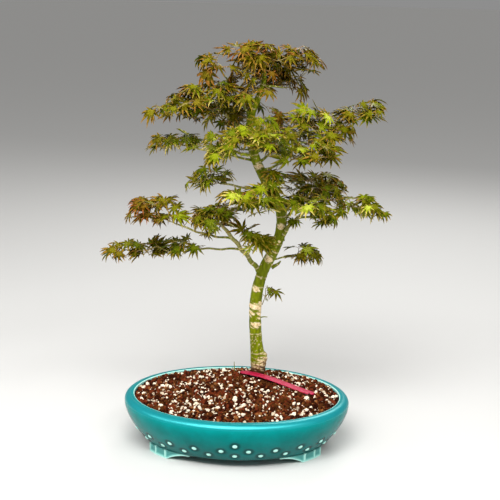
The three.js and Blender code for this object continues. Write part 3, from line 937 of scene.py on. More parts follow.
# %% Build the trunk
relief = (
    0.10 * MM * roughness_waves + 0.18 * MM * slow_waves + 0.55 * MM * corky * (1 + 0.5 * roughness_waves)
    + 0.28 * MM * ring_line + 0.25 * MM * dots + 2.8 * MM * bulge + 0.55 * MM * graft * roughness_waves
    - 1.2 * MM * bell(up, 9 * MM)
)
trunk_skin, trunk_faces = tubes(line[None], (radii[:, None] + relief)[None], TRUNK_SIDES, (1, 0, 0))
pale = np.clip(corky + 0.9 * ring_line + dots, 0, 1) * (1 - graft)
trunk = make_piece("trunk_bark", trunk_skin, trunk_faces, attributes={
    "pale": np.append(pale, [0, 0]),
    "healed": np.append(graft, [1, 0]),
    "earth_stain_and_shade": np.append(earth_stain_and_shade, [1, 0]),
})
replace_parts(trunk, "trunk")

# %% [markdown]
# The boughs are too many and too thin for marks of their own: a collar where each leaves its limb and small
# rings along it are enough. They differ in length, so each is made by itself and all are joined at the end.
# Three bare stubs are made the same way: a knuckle and a budded twig on the trunk's right, and a bit of
# twig that stands in the soil.

# %% Build the boughs
BOUGH_SIDES = 14
BOUGH_STEP = 1.3 * MM


def bough_skin(line, radii, rng):
    """A bough's points, faces and paleness: it sways a little, with a collar, soft lumps and rings."""
    line, radii, run = resampled(line, radii, BOUGH_STEP)
    sway = np.sin(run[:, None] / (rng.uniform(11, 17, 3) * MM) * np.pi + rng.uniform(0, 6.3, 3))
    line = line + 0.6 * MM * sway * np.clip(run / (15 * MM), 0, 1)[:, None]
    rings = np.cumsum(rng.uniform(7, 13, 30)) * MM
    ring = bell(np.abs(run[:, None] - rings).min(axis=1), 0.8 * MM)
    collar = 1 + 0.45 * np.exp(-run / (4 * MM))
    lumps = 1 + 0.05 * rng.normal(size=(len(run), BOUGH_SIDES))
    skin = (radii * collar + 0.16 * MM * ring)[:, None] * smoothed(lumps, 2)
    points, faces = tubes(line[None], skin[None], BOUGH_SIDES, (0, 0.1, 1))
    pale = np.maximum(0.8 * ring, 0.3 * np.clip(run / (60 * MM), 0, 1))
    return points, faces, np.append(np.repeat(pale, BOUGH_SIDES), [0, 0])


def merged(parts):
    """Several (points, list of faces) as one: each part's faces count on from the points before it."""
    starts = np.cumsum([0] + [len(points) for points, _ in parts[:-1]])
    faces = [f + start for (_, group), start in zip(parts, starts) for f in group]
    return np.concatenate([points for points, _ in parts]), faces


STUBS = np.array([
    ((42, 55, 229, 2.2), (47, 55, 232, 2.1), (51, 54, 235, 1.7), (54, 53, 239, 0.9)),
    ((20, 56, 157, 1.0), (28, 56, 157.2, 0.9), (33, 56, 158.2, 0.75), (38, 56, 158.6, 0.5)),
    ((-5.2, 62, 70, 0.7), (-5.2, 62, 78, 0.65), (-5.5, 62, 85, 0.55), (-5, 62.5, 91, 0.4)),
]) * MM
limbs = [bough_lines[name] for name in bough_names] + [(stub[:, :3], stub[:, 3]) for stub in STUBS]
skins = [bough_skin(*limb, bark_rng) for limb in limbs]
points, faces = merged([skin[:2] for skin in skins])
pale = np.concatenate([pale_here for _, _, pale_here in skins])
boughs = make_piece("bough_bark", points, faces, attributes={
    "pale": pale, "healed": 0 * pale, "earth_stain_and_shade": 0 * pale,
})
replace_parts(boughs, *bough_names)

# %% [markdown]
# ## The bark's finish
#
# The green is three close greens picked by noise that is drawn out along the limb. The pale number turns
# it to cream cork, the healed number to the mottled cream and brown of the graft, and the number for the
# foot darkens it, partly a stain of damp earth and partly painted shade where the trunk meets the soil.

# %% Make the bark
bark = finish_of("green_bark", (116, 130, 30), 0.55, Specular_IOR_Level=0.12)
streaks = noise_on(bark, 240, detail=5, stretch=(1, 1, 0.25))
greens = ramp(bark, streaks, [
    (0.26, (84, 90, 0)), (0.5, (112, 122, 0)), (0.78, (144, 156, 4)),
])
cork = ramp(bark, noise_on(bark, 420, detail=6, roughness=0.7), [
    (0.32, (140, 104, 56)), (0.43, (224, 192, 140)), (0.62, (255, 242, 202)),
])
wood = ramp(bark, noise_on(bark, 260, detail=7, roughness=0.75), [
    (0.38, (80, 48, 20)), (0.44, (150, 116, 70)), (0.5, (222, 196, 148)),
    (0.6, (248, 230, 190)),
])
barked = blend_colours(bark, attribute(bark, "pale"), greens, cork)
barked = blend_colours(bark, attribute(bark, "healed"), barked, wood)
# Painted shade and a stain of damp earth at the foot of the trunk.
barked = blend_colours(bark, attribute(bark, "earth_stain_and_shade"), barked, (70, 40, 12))
to_shader(bark, barked)
roughen(bark, 1100, 4, 0.35, 0.3 * MM)
for piece in (trunk, boughs):
    piece.data.materials.append(bark)
print("bark on", trunk.name, "and", boughs.name)

# %% [markdown]
# ## Where the buds are
#
# Each mass of foliage is now filled with growing points. A growing point must leave room for its leaves:
# they reach outwards and hang, so a point is kept only if places further out and lower, a little above and
# a little below it still lie inside a mass. Which side of the surface a place is on comes from the nearest
# face: it is inside if it lies behind that face's outward normal.
#
# The crown is open: sky shows between the sprays. Each gap is a tunnel from the front of the crown to its
# back, a place in a tunnel counts as outside, and the tunnels all slope towards the eye of somebody who
# looks at the tree from the front: level near the top, and falling backwards lower down.

# %% Inside or outside the masses
mass_names = sorted(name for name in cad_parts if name.startswith("leaves_"))
mass_solids = {name: solid(name) for name in mass_names}
points, triangles = merged([(corners, [faces]) for corners, faces in mass_solids.values()])
crown_tree = search_tree(points, np.concatenate(triangles))
SKY_GAPS = np.array([
    (-19, 513, 13), (48, 534, 8), (50, 457, 14), (44, 437, 9), (126, 447, 9), (177, 460, 8), (-39, 420, 10),
    (-6, 367, 13), (-51, 366, 9), (10, 341, 9), (66, 313, 8), (108, 318, 10), (142, 320, 9), (0, 303, 9),
    (-11, 246, 16), (-46, 240, 13), (-44, 338, 7), (78, 447, 7), (46, 292, 12), (28, 290, 8), (47, 311, 7),
]) * MM
GAP_MIDDLE_Y = 20 * MM
EYE_HEIGHT, EYE_AWAY = 0.59, 1.42
GAP_FALL = (EYE_HEIGHT - SKY_GAPS[:, 1]) / EYE_AWAY


def depth_in_gap(place):
    """How far a place lies inside the nearest tunnel, in metres; less than nothing outside them all."""
    tunnel_z = SKY_GAPS[:, 1] - GAP_FALL * (place[1] - GAP_MIDDLE_Y)
    return (SKY_GAPS[:, 2] - np.hypot(place[0] - SKY_GAPS[:, 0], place[2] - tunnel_z)).max()


def outside_by(place):
    """How far a place lies outside the masses or in a gap, in metres; less than nothing in the leaves."""
    near, normal, _, gap = crown_tree.find_nearest(place.tolist())
    x, y, z = place.tolist()
    ahead = (x - near.x) * normal.x + (y - near.y) * normal.y + (z - near.z) * normal.z
    return max(gap if ahead > 0 else -gap, depth_in_gap(place))


def volume_of(points, triangles):
    """The volume of a closed solid: a sixth of the sum of a . (b x c) over its triangles."""
    a, b, c = (points[triangles[:, k]] for k in range(3))
    return float((a * np.cross(b, c)).sum() / 6)


print(len(mass_names), "masses of leaves and", len(SKY_GAPS), "gaps between them")

# %% [markdown]
# Points dropped at random clump. Choosing each next point as the one farthest from all chosen so far, from
# a few hundred candidates, spreads them evenly and fills the mass to its edges.

# %% Spread the growing points
VOLUME_PER_POINT = 8.2e-6
ROOM_OUT = 15 * MM
ROOM_ABOVE = 5 * MM
ROOM_BELOW = 4 * MM
HANG = np.array([0, 0, 6 * MM])
TRIALS = 420
FEWEST_POINTS = 7
grow_rng = np.random.default_rng(41)


def one_long(vector):
    """A vector divided by its length, or nothing where it has no length."""
    return vector / (np.linalg.norm(vector) + 1e-9)


def has_room(place, middle, ease):
    """True where a leaf would stay inside: it tests the place, one further out, one above and one below."""
    away = one_long((place - middle) * [1, 1, 0])
    tests = (0 * away, away * ROOM_OUT * ease - HANG, [0, 0, ROOM_ABOVE * ease], [0, 0, -ROOM_BELOW * ease])
    return all(outside_by(place + step) < 0 for step in tests)


def growing_points(name):
    """Evenly spread points of one mass, as many as its volume asks for."""
    points, triangles = mass_solids[name]
    low, high = points.min(axis=0), points.max(axis=0)
    middle = middle_of(points)
    wanted = max(FEWEST_POINTS, round(volume_of(points, triangles) / VOLUME_PER_POINT))
    kept = []
    for ease in (1.0, 0.8, 0.6):
        trials = grow_rng.uniform(low, high, (TRIALS, 3))
        kept += [place for place in trials if has_room(place, middle, ease)]
        if len(kept) > 1.5 * wanted:
            break
    kept = np.array(kept)
    chosen = [0]
    gaps = np.linalg.norm(kept - kept[0], axis=1)
    while len(chosen) < min(wanted, len(kept)):
        chosen.append(int(gaps.argmax()))
        gaps = np.minimum(gaps, np.linalg.norm(kept - kept[chosen[-1]], axis=1))
    return kept[chosen]


buds_by_mass = {name: growing_points(name) for name in mass_names}
mass_middles = np.array([middle_of(points) for points, _ in mass_solids.values()])
print(sum(map(len, buds_by_mass.values())), "growing points in", len(mass_names), "masses")

# %% [markdown]
# Short shoots also spring from the limbs between the masses. Those on the upper trunk are placed one by
# one, because they hide it in front and leave it bare lower down. A low one on the right is a young shoot,
# whose first leaves are small. Boughs that run inside the foliage get two each, wherever they come, and
# those that cross the sky stay bare. A few lone sprays stand at the rim of the crown.

# %% Shoots, listed one by one
TRUNK_SHOOTS = (
    (418, -30, 6, 18), (428, 160, 8, 22), (438, 15, 4, 24), (447, 175, 10, 22), (452, 50, -4, 22),
    (462, -115, 6, 20), (470, -60, 4, 22), (478, -100, 8, 18), (487, 200, 4, 20), (490, -75, 6, 22),
    (498, -70, 4, 20), (505, -30, 4, 18), (510, -95, 0, 14),
)
YOUNG_SHOOT = np.array([(30.5, 55, 176), (34.3, 55, 186), (35, 56, 199), (43, 54, 195.5)]) * MM
YOUNG_SIZES = (0.35, 0.5, 0.95)
BOUGH_SHOOT_LENGTH = (11 * MM, 20 * MM)
CLEAR_OF_GAP = 5 * MM
BARE_BOUGHS = ("low_left", "low_left_under", "low_front", "low_back", "low_right_shoot", "middle_left",
               "top_right", "upper_right_back", "upper_right_low")
LONE_SPRAYS = np.array([
    (-76, 38, 402), (-63, 38, 399), (-53, 38, 393), (-76, 20, 262), (-66, 18, 266), (-54, 14, 262),
    (150, 0, 333), (166, 0, 326), (176, 0, 318), (-48, -5, 506), (-40, -5, 492), (-33, -5, 481),
    (-98, -10, 457), (-105, -15, 448), (68, 5, 516), (84, 5, 510), (80, 5, 498), (-12, -5, 521),
    (2, -5, 522), (74, 10, 303), (-67, 36, 345), (-108, 30, 300), (-84, 30, 262), (172, 5, 445),
]) * MM


# %% Shoots on the limbs
def towards(bearing, climb=0.0):
    """The direction of a bearing and a climb in radians: (cos b cos c, sin b cos c, sin c)."""
    return np.array([np.cos(bearing) * np.cos(climb), np.sin(bearing) * np.cos(climb), np.sin(climb)])


def trunk_at(z):
    """The point of the trunk's line at a height."""
    return np.array([np.interp(z, trunk_line[:, 2], trunk_line[:, k]) for k in range(3)])


def trunk_shoot(height, bearing, climb, length):
    """The end of a shoot that leaves the trunk towards a bearing in degrees; the rest is in millimetres."""
    return trunk_at(height * MM) + (towards(np.radians(bearing)) * length + [0, 0, climb]) * MM


def bough_shoots(line):
    """Ends of two shoots from the outer half of a bough: square to it, rather upwards, out of the gaps."""
    places = grow_rng.integers(len(line) // 2, len(line) - 3, 2)
    way = np.gradient(line, axis=0)[places]
    push = grow_rng.normal(size=(2, 3)) + [0, -0.2, 0.6]
    push -= (push * way).sum(-1, keepdims=True) / (way**2).sum(-1, keepdims=True) * way
    tips = line[places] + unit(push) * grow_rng.uniform(*BOUGH_SHOOT_LENGTH, (2, 1))
    return tips[[depth_in_gap(tip) < -CLEAR_OF_GAP for tip in tips]]


limb_buds = np.concatenate([
    np.array([trunk_shoot(*shoot) for shoot in TRUNK_SHOOTS]),
    *[bough_shoots(bough) for name, (bough, _) in bough_lines.items()
      if name.removeprefix("bough_") not in BARE_BOUGHS],
    LONE_SPRAYS,
    YOUNG_SHOOT[1:],
])
nearest_mass = np.linalg.norm(limb_buds[:, None] - mass_middles, axis=-1).argmin(axis=1)
buds = np.concatenate([*buds_by_mass.values(), limb_buds])
mass_of_bud = np.repeat(np.arange(len(mass_names)), [len(b) for b in buds_by_mass.values()])
mass_of_bud = np.concatenate([mass_of_bud, nearest_mass])
size_of_bud = np.ones(len(buds))
size_of_bud[-len(YOUNG_SIZES):] = YOUNG_SIZES
print(len(limb_buds), "shoots on the limbs")

# %% [markdown]
# ## The branching rule
#
# The twigs must join every growing point to a bough without crossing the sky. The rule is greedy: of all
# the points not yet joined, take the one that is cheapest to reach, where the cost is the gap to a point of
# the tree plus a share of that point's own way back to its bough. The first term keeps twigs short, and the
# second makes them run outwards from the bough instead of wandering from neighbour to neighbour.

# %% Seeds and the greedy rule
WAY_BACK_SHARE = 0.42
TWIGGY_TOP, FREE_TOP = 0.23, 0.05
TRUNK_PENALTY = 14 * MM
MID_BOUGH_PENALTY = 4 * MM


def seeds():
    """Places where twigs may start, with the cost of starting there and the direction of growth."""
    found = []
    for line, _ in bough_lines.values():
        ways = unit(np.gradient(line, axis=0))
        found += [(line[k], MID_BOUGH_PENALTY * (k != -1), ways[k]) for k in (-1, -3, -6)]
    for place in trunk_line[trunk_line[:, 2] > trunk_top_z - TWIGGY_TOP][::3]:
        found.append((place, TRUNK_PENALTY * (trunk_top_z - place[2] > FREE_TOP), (0, 0, 1.0)))
    found.append((YOUNG_SHOOT[0], 0.0, (0.6, 0.1, 0.8)))
    return map(np.array, zip(*found))


def grow(starts, start_costs, targets):
    """Joins every target by the greedy rule; returns each one's parent, counting the starts first."""
    nodes = np.concatenate([starts, targets])
    back = np.concatenate([start_costs, np.zeros(len(targets))])
    first = len(starts)
    parent = np.full(len(nodes), -1)
    gaps = np.linalg.norm(targets[:, None] - starts[None], axis=-1) + WAY_BACK_SHARE * back[:first]
    best_cost, best_from = gaps.min(axis=1), gaps.argmin(axis=1)
    waiting = np.ones(len(targets), dtype=bool)
    order = []
    while waiting.any():
        pick = int(np.where(waiting, best_cost, np.inf).argmin())
        waiting[pick] = False
        node = first + pick
        parent[node] = best_from[pick]
        back[node] = back[best_from[pick]] + np.linalg.norm(nodes[node] - nodes[best_from[pick]])
        order.append(node)
        cost = np.linalg.norm(targets - nodes[node], axis=1) + WAY_BACK_SHARE * back[node]
        cheaper = cost < best_cost
        best_cost[cheaper], best_from[cheaper] = cost[cheaper], node
    return nodes, parent, np.array(order)


# %% Join them all
starts, start_costs, start_ways = seeds()
nodes, parent, order = grow(starts, start_costs, buds)
first_bud = len(starts)
bearer = parent[order]
chords = nodes[order] - nodes[bearer]
lengths = np.linalg.norm(chords, axis=1, keepdims=True)
print("joined", len(order), "points; longest twig step", round(lengths.max() * 1000), "mm")

# %% [markdown]
# A twig is as thick as the twigs it feeds need: the old rule of thumb is that the radii, each raised to a
# power a little over two, add up at a fork. The order of growth read backwards visits every twig before
# the twig that bears it, so one pass is enough.

# %% Thickness and direction of the twigs
TIP_RADIUS = 0.42 * MM
FORK_POWER = 2.6
TWIG_MAX = 1.35 * MM


def twig_radii():
    """Radius of the twig that ends at each node: r to the fork power is the sum of its children's."""
    total = np.zeros(len(nodes))
    for node in order[::-1]:
        total[node] = max(total[node], TIP_RADIUS**FORK_POWER)
        total[parent[node]] += total[node]
    return np.minimum(total ** (1 / FORK_POWER), TWIG_MAX)


radius_of = twig_radii()
way_of = np.zeros_like(nodes)
way_of[:first_bud] = start_ways
way_of[order] = chords / lengths
children = np.bincount(bearer, minlength=len(nodes))
print("twig tips:", int((children[first_bud:] == 0).sum()))

# %% Build the twigs
TWIG_RINGS = 6
TWIG_SIDES = 5
start_points, end_points = nodes[bearer], nodes[order]
leave = 0.6 * way_of[bearer] + 0.4 * way_of[order]
arrive = way_of[order] + [0, 0, -0.12]
t = np.linspace(0, 1, TWIG_RINGS)[None, :, None]
after_start = (start_points + leave * lengths * 0.36)[:, None]
before_end = (end_points - arrive * lengths * 0.33)[:, None]
twig_paths = (
    (1 - t) ** 3 * start_points[:, None] + 3 * (1 - t) ** 2 * t * after_start
    + 3 * (1 - t) * t**2 * before_end + t**3 * end_points[:, None]
)
base_radii = np.minimum(radius_of[bearer], radius_of[order] * 1.25)
base_radii = np.where(bearer < first_bud, radius_of[order] * 1.2, base_radii)
twig_girths = base_radii[:, None] + (radius_of[order] - base_radii)[:, None] * t[..., 0]
points, faces = tubes(twig_paths, twig_girths, TWIG_SIDES, (0.31, 0.22, 0.92))
twigs = make_piece("twigs", points, faces)
twigs.data.materials.append(finish_of("young_twig", (150, 134, 74), 0.55))

# %% [markdown]
# ## One leaf
#
# The leaf of this maple is a hand of seven slender lobes that meet near the stalk. Every lobe is the same
# shape at its own length and angle: it leaves the notch between two lobes, swells to its widest before the
# middle, and runs out to a long point. Three numbers place each corner: how far along the lobe it is, how
# far to the side, and the lobe it belongs to. The blade is creased along each midrib and bends down towards
# the tips, which is what makes the leaves hang like hands.

# %% Corners and faces of a lobe
LOBE_ANGLES = np.radians([-106, -66, -31, 0, 31, 66, 106])
LOBE_LENGTHS = np.array([0.42, 0.76, 0.95, 1.0, 0.95, 0.76, 0.42])
NOTCH = 0.2
ALONG = np.array([0.0, 0.32, 0.52, 0.76, 1.0])
WIDTH = np.array([0.0, 0.092, 0.092, 0.043, 0.0])
MIDRIB, LEFT, RIGHT = np.arange(5), np.arange(5, 9), np.arange(9, 13)


def lobe_faces():
    """Quads from the midrib to each side, and a triangle at the tip: eight faces to a lobe, facing up."""
    quads = []
    for k in range(3):
        quads.append((MIDRIB[k], MIDRIB[k + 1], LEFT[k + 1], LEFT[k]))
        quads.append((MIDRIB[k + 1], MIDRIB[k], RIGHT[k], RIGHT[k + 1]))
    tips = [(MIDRIB[3], MIDRIB[4], LEFT[3]), (MIDRIB[4], MIDRIB[3], RIGHT[3])]
    return np.array(quads), np.array(tips)


LOBE_QUADS, LOBE_TIPS = lobe_faces()
LOBES, LOBE_POINTS = len(LOBE_ANGLES), len(MIDRIB) + len(LEFT) + len(RIGHT)
print("a leaf has", LOBES * (len(LOBE_QUADS) + len(LOBE_TIPS)), "faces")


# %% Blades of many leaves
def leaf_blades(sizes, droops, folds, rng):
    """Corners of many leaves as (leaves, lobes, 13, 3), each lying in its own plane with its stalk at 0.

    Along a lobe of angle A a corner lies at (r cos A - w sin A, r sin A + w cos A), with r the way along
    and w the way to the side. It sinks by droop r squared / size, and off the midrib it rises by the fold.
    """
    count = len(sizes)
    angle = LOBE_ANGLES + rng.normal(0, 0.06, (count, LOBES))
    length = LOBE_LENGTHS * sizes[:, None] * rng.uniform(0.86, 1.1, (count, LOBES))
    next_angle, next_length = np.roll(angle, -1, axis=1), np.roll(length, -1, axis=1)
    notch_left = np.stack([(angle + next_angle) / 2, NOTCH * np.minimum(length, next_length)])
    notch_right = np.roll(notch_left, 1, axis=2)
    notch_left[:, :, -1] = angle[:, -1] + 0.5, 0.5 * NOTCH * length[:, -1]
    notch_right[:, :, 0] = angle[:, 0] - 0.5, 0.5 * NOTCH * length[:, 0]
    along = length[..., None] * ALONG
    width = sizes[:, None, None] * LOBE_LENGTHS[:, None] ** 0.6 * WIDTH
    polar = np.empty((count, LOBES, LOBE_POINTS, 2))
    cos, sin = np.cos(angle)[..., None], np.sin(angle)[..., None]
    polar[..., MIDRIB, :] = np.stack([along * cos, along * sin], axis=-1)
    for side, columns, notch in ((1, LEFT, notch_left), (-1, RIGHT, notch_right)):
        edge = np.stack([along * cos - side * width * sin, along * sin + side * width * cos], axis=-1)
        polar[..., columns[1:], :] = edge[:, :, 1:4]
        polar[..., columns[0], 0] = notch[1] * np.cos(notch[0])
        polar[..., columns[0], 1] = notch[1] * np.sin(notch[0])
    reach = np.linalg.norm(polar, axis=-1)
    lobe_droop = droops[:, None] + rng.normal(0, 0.09, (count, LOBES))
    z = -lobe_droop[..., None] * reach**2 / sizes[:, None, None]
    off_rib = reach[..., len(MIDRIB):]
    z[..., len(MIDRIB):] += folds[:, None, None] * 0.12 * np.minimum(off_rib, 0.6 * sizes[:, None, None])
    return np.concatenate([polar, z[..., None]], axis=-1)


# %% [markdown]
# ## Hanging the leaves
#
# Maples carry their leaves in pairs, one on each side of the twig, and at a tip there is one more. High in
# a mass they stand out level or a little up, and low in it they hang. Each leaf is offered a handful of
# directions between its side of the twig and the outside of the crown, at a random droop. The first that
# keeps its lobes inside the masses and out of the gaps is taken, and failing that the one that strays
# least, made smaller. That is what gives the foliage the outline of the masses, tips and gaps alike.
#
# Leaves turn their faces to the light, which is outwards, and a little to the front. So a leaf that grows
# towards the light bends down, one that grows away from it is lifted, and one that grows across it rolls.

# %% Directions for the leaves
STALK = 12 * MM
LEAF_SIZE = 22 * MM
TRIES = 9
OUTWARD_PULL = 0.55
DRIFT, MORE_DRIFT = 0.35, 0.12
TO_THE_FRONT = np.array([0, -0.9])
BEND_TO_LIGHT = 0.34
ROLL_TO_LIGHT = 0.5
UNEVEN = 0.35
DROOP_LIMITS = (-0.8, 1.3)
STRAY = 4.5 * MM
SMALLEST_SHARE = 0.62
leaf_rng = np.random.default_rng(67)


def leaf_axes(bearing, droop, roll):
    """Three axes of a leaf: along its middle lobe, out and down; across; and up from its face."""
    ahead = towards(bearing, -droop)
    level = np.array([-np.sin(bearing), np.cos(bearing), 0])
    face = np.cross(ahead, level)
    across = level * np.cos(roll) + face * np.sin(roll)
    return np.stack([ahead, across, np.cross(ahead, across)])


def strays(base, axes, size):
    """How far the heart and the three middle tips reach outside the masses, bent down as a leaf is."""
    spots = ((0.4, 0, -0.05), (1.0, 0, -0.3), (0.62, 0.62, -0.25), (0.62, -0.62, -0.25))
    return max(outside_by(base + size * (np.array(spot) @ axes)) for spot in spots)


# %% One leaf, hung
def hang(node, side, size):
    """Stalk end, axes and size of one leaf at a node, on the given side of its twig."""
    here, way = nodes[node], way_of[node]
    middle_here = mass_middles[mass_of_bud[node - first_bud]]
    outwards = one_long((here - middle_here) * [1, 1, 0])
    allowed = STRAY + max(0, outside_by(here))
    height_in_mass = np.clip((here[2] - middle_here[2]) / (15 * MM), -1, 1)
    light = one_long((here - trunk_at(here[2]))[:2]) + TO_THE_FRONT
    light = light / np.linalg.norm(light)
    best = None
    for attempt in range(TRIES):
        drift = leaf_rng.normal(0, DRIFT + MORE_DRIFT * attempt)
        sideways = np.arctan2(way[1], way[0]) + side
        pull = towards(sideways)[:2] + OUTWARD_PULL * outwards[:2]
        bearing = np.arctan2(pull[1], pull[0]) + drift
        heading = towards(bearing)[:2]
        bend = 0.25 - 0.3 * height_in_mass + BEND_TO_LIGHT * heading @ light
        droop = np.clip(leaf_rng.normal(bend, UNEVEN), *DROOP_LIMITS)
        roll = leaf_rng.normal(-ROLL_TO_LIGHT * (heading[0] * light[1] - heading[1] * light[0]), UNEVEN)
        lift = leaf_rng.uniform(-0.05, 0.5) + 0.2 * height_in_mass
        stalk = STALK * leaf_rng.uniform(0.6, 1.15) * min(1, size / LEAF_SIZE)
        base = here + stalk * towards(bearing, lift)
        axes = leaf_axes(bearing, droop, roll)
        stray = strays(base, axes, size)
        if best is None or stray < best[0]:
            best = (stray, base, axes)
        if stray < allowed:
            break
    shrink = np.clip(1 - (best[0] - allowed) / (1.2 * size), SMALLEST_SHARE, 1)
    return best[1], best[2], size * shrink


# %% Hang every leaf
PAIR = (1.45, -1.45)
TIP_LEAVES = (1.2, -1.2, 0.0)
hung = []
for node in order:
    for side in PAIR if children[node] else TIP_LEAVES:
        wanted = LEAF_SIZE * leaf_rng.uniform(0.66, 1.18) * size_of_bud[node - first_bud]
        hung.append((node, side, *hang(node, side, wanted)))
leaf_nodes, leaf_sides, stalk_ends, leaf_frames, leaf_sizes = map(np.array, zip(*hung))
leaf_buds = leaf_nodes - first_bud
print(len(leaf_nodes), "leaves, middle lobe", round(leaf_sizes.mean() * 1000, 1), "mm on average")

# %% [markdown]
# At two open tips nothing shades the leaves: on the low twig at the far right, and on the young shoot on
# the trunk. They hang like open hands with their faces to the front, so these few are turned after the
# rest: each points to the front, a little to its own side, and bends well down.

# %% Turn the leaves of the open tips
OPEN_TIP_FROM = 152 * MM
in_low_twig = mass_of_bud[leaf_buds] == mass_names.index("leaves_far_right_low")
in_tip = in_low_twig & (nodes[leaf_nodes, 0] > OPEN_TIP_FROM)
on_shoot = leaf_buds == len(buds) - 1
for group, droop, spread, growth in ((in_tip, 0.75, 0.45, 1.15), (on_shoot, 0.9, 0.55, 0.9)):
    leaf_frames[group] = [leaf_axes(spread * side - np.pi / 2, droop, 0) for side in leaf_sides[group]]
    leaf_sizes[group] *= growth
print("turned", int(in_tip.sum()), "leaves of the tip and", int(on_shoot.sum()), "of the shoot")

# %% [markdown]
# ## Stalks
#
# Every leaf has a thin stalk that leaves the twig, arches over and meets the blade. A curve through three
# points is enough, and the same tube function makes all of them at once.

# %% Build the stalks
STALK_RINGS = 5


def stalk_paths(from_points, to_points, ways):
    """Curves (1 - t)^2 a + 2 t (1 - t) m + t^2 b, with m above the middle and drawn back along the leaf."""
    t = np.linspace(0, 1, STALK_RINGS)[None, :, None]
    gap = np.linalg.norm(to_points - from_points, axis=1, keepdims=True)
    middle = (from_points + to_points) / 2 + gap * [0, 0, 0.16] - 0.12 * gap * ways
    a, m, b = (points[:, None] for points in (from_points, middle, to_points))
    return (1 - t) ** 2 * a + 2 * t * (1 - t) * m + t**2 * b


paths = stalk_paths(nodes[leaf_nodes], stalk_ends, leaf_frames[:, 0])
girths = np.broadcast_to(np.linspace(0.42, 0.3, STALK_RINGS) * MM, paths.shape[:2])
points, faces = tubes(paths, girths, 3, (0.2, 0.1, 0.97))
stalks = make_piece("leaf_stalks", points, faces)
stalks.data.materials.append(finish_of("leaf_stalk", (150, 112, 62), 0.5))

# %% [markdown]
# ## Spring colours
#
# New leaves open lime green in the sheltered middle of the crown. The outer and upper sprays, which have
# had more sun, are washed with bronze and rust, and every lobe ends in a warmer, browner point. So each
# spray, that is each growing point, is dealt a warmth from its mass, its place in the mass and a little
# chance, and the warmth picks its family of colours. The palest family is also brighter than young leaves
# alone would be: painted light where the sun falls on the front middle of the crown. A family has three
# plain colours: the heart of the leaf, the blade, and the tips.

# %% Families of leaf colour
# The first family is partly painted light: its brighter colours stand for sun on the leaves at the front of
# the middle masses.
LEAF_FAMILIES = {
    "fresh_sunlit": ((176, 184, 64), (146, 157, 28), (190, 172, 94)),
    "lime": ((130, 140, 16), (104, 114, 3), (152, 134, 46)),
    "green": ((96, 106, 6), (72, 82, 0), (118, 104, 26)),
    "olive": ((108, 108, 10), (82, 82, 0), (130, 108, 32)),
    "gold": ((114, 106, 14), (88, 80, 0), (138, 104, 34)),
    "bronze": ((112, 98, 16), (86, 74, 0), (138, 94, 36)),
    "rust": ((116, 88, 20), (90, 62, 4), (140, 80, 40)),
}
# Low warmths here put that brightest, partly sunlit family on the front middle masses.
MASS_WARMTH = {
    "crown_top": 0.7, "crown_right": 0.68, "crown_left": 0.74, "crown_right_low": 0.74, "crown_back": 0.62,
    "upper_left_tip": 0.62, "upper_left": 0.5, "upper_left_back": 0.48, "upper_right_back": 0.48,
    "middle_left": 0.34, "centre_left": 0.31, "centre_front": 0.3, "centre_low": 0.44, "middle_right": 0.42,
    "middle_right_low": 0.42, "far_right": 0.55, "right_front": 0.42, "right_inner": 0.44, "right_low": 0.4,
    "far_right_low": 0.44, "right_back": 0.44, "right_small": 0.5, "small_left": 0.27, "left": 0.68,
    "left_inner": 0.52, "left_low_tip": 0.5, "left_low": 0.37, "left_back": 0.5, "front_low": 0.4,
}
tint_rng = np.random.default_rng(97)
mass_warmth = np.array([MASS_WARMTH[name.removeprefix("leaves_")] for name in mass_names])
from_middle = buds - mass_middles[mass_of_bud]
bud_out = np.linalg.norm(from_middle[:, :2], axis=1) / (40 * MM)
bud_up = from_middle[:, 2] / (25 * MM)
warmth = mass_warmth[mass_of_bud] + 0.12 * (bud_out - 0.5) + 0.06 * bud_up
warmth = warmth + tint_rng.normal(0, 0.12, len(buds))
leaf_warmth = warmth[leaf_buds] + tint_rng.normal(0, 0.09, len(leaf_buds))
family_of = np.digitize(leaf_warmth, [0.19, 0.32, 0.43, 0.57, 0.74, 0.94])
print("leaves in each family:", np.bincount(family_of, minlength=len(LEAF_FAMILIES)).tolist())

# %% Build the leaves
def slots_of_lobes(count):
    """Material numbers in the order of the faces: heart near the stalk, blade, and tip."""
    quads = np.tile([0, 0, 1, 1, 1, 2], LOBES * count)
    tips = np.full(2 * LOBES * count, 2)
    return np.concatenate([quads, tips])


def leaf_piece(name, chosen, colours):
    """Joins the chosen leaves into one piece with three plain materials."""
    count = int(chosen.sum())
    droops = leaf_rng.uniform(0.0, 0.28, count)
    folds = leaf_rng.uniform(0.5, 1.6, count)
    flat = leaf_blades(leaf_sizes[chosen], droops, folds, leaf_rng).reshape(count, -1, 3)
    placed = np.einsum("npk,nkc->npc", flat, leaf_frames[chosen]) + stalk_ends[chosen][:, None]
    faces = [repeat_faces(f, count * LOBES, LOBE_POINTS) for f in (LOBE_QUADS, LOBE_TIPS)]
    piece = make_piece(name, placed.reshape(-1, 3), faces, slots=slots_of_lobes(count))
    for part, colour in zip(("heart", "blade", "tips"), colours):
        piece.data.materials.append(finish_of(
            f"{name}_{part}", colour, 0.38,
            Specular_IOR_Level=0.12, Specular_Tint=(1, 0.92, 0.3, 1)))
    return piece


leaf_pieces = [
    leaf_piece(f"leaves_of_{family}", family_of == number, colours)
    for number, (family, colours) in enumerate(LEAF_FAMILIES.items())
]
for number, name in enumerate(mass_names):
    counts = np.bincount(family_of[mass_of_bud[leaf_buds] == number], minlength=len(LEAF_FAMILIES))
    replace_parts(leaf_pieces[int(counts.argmax())], name)

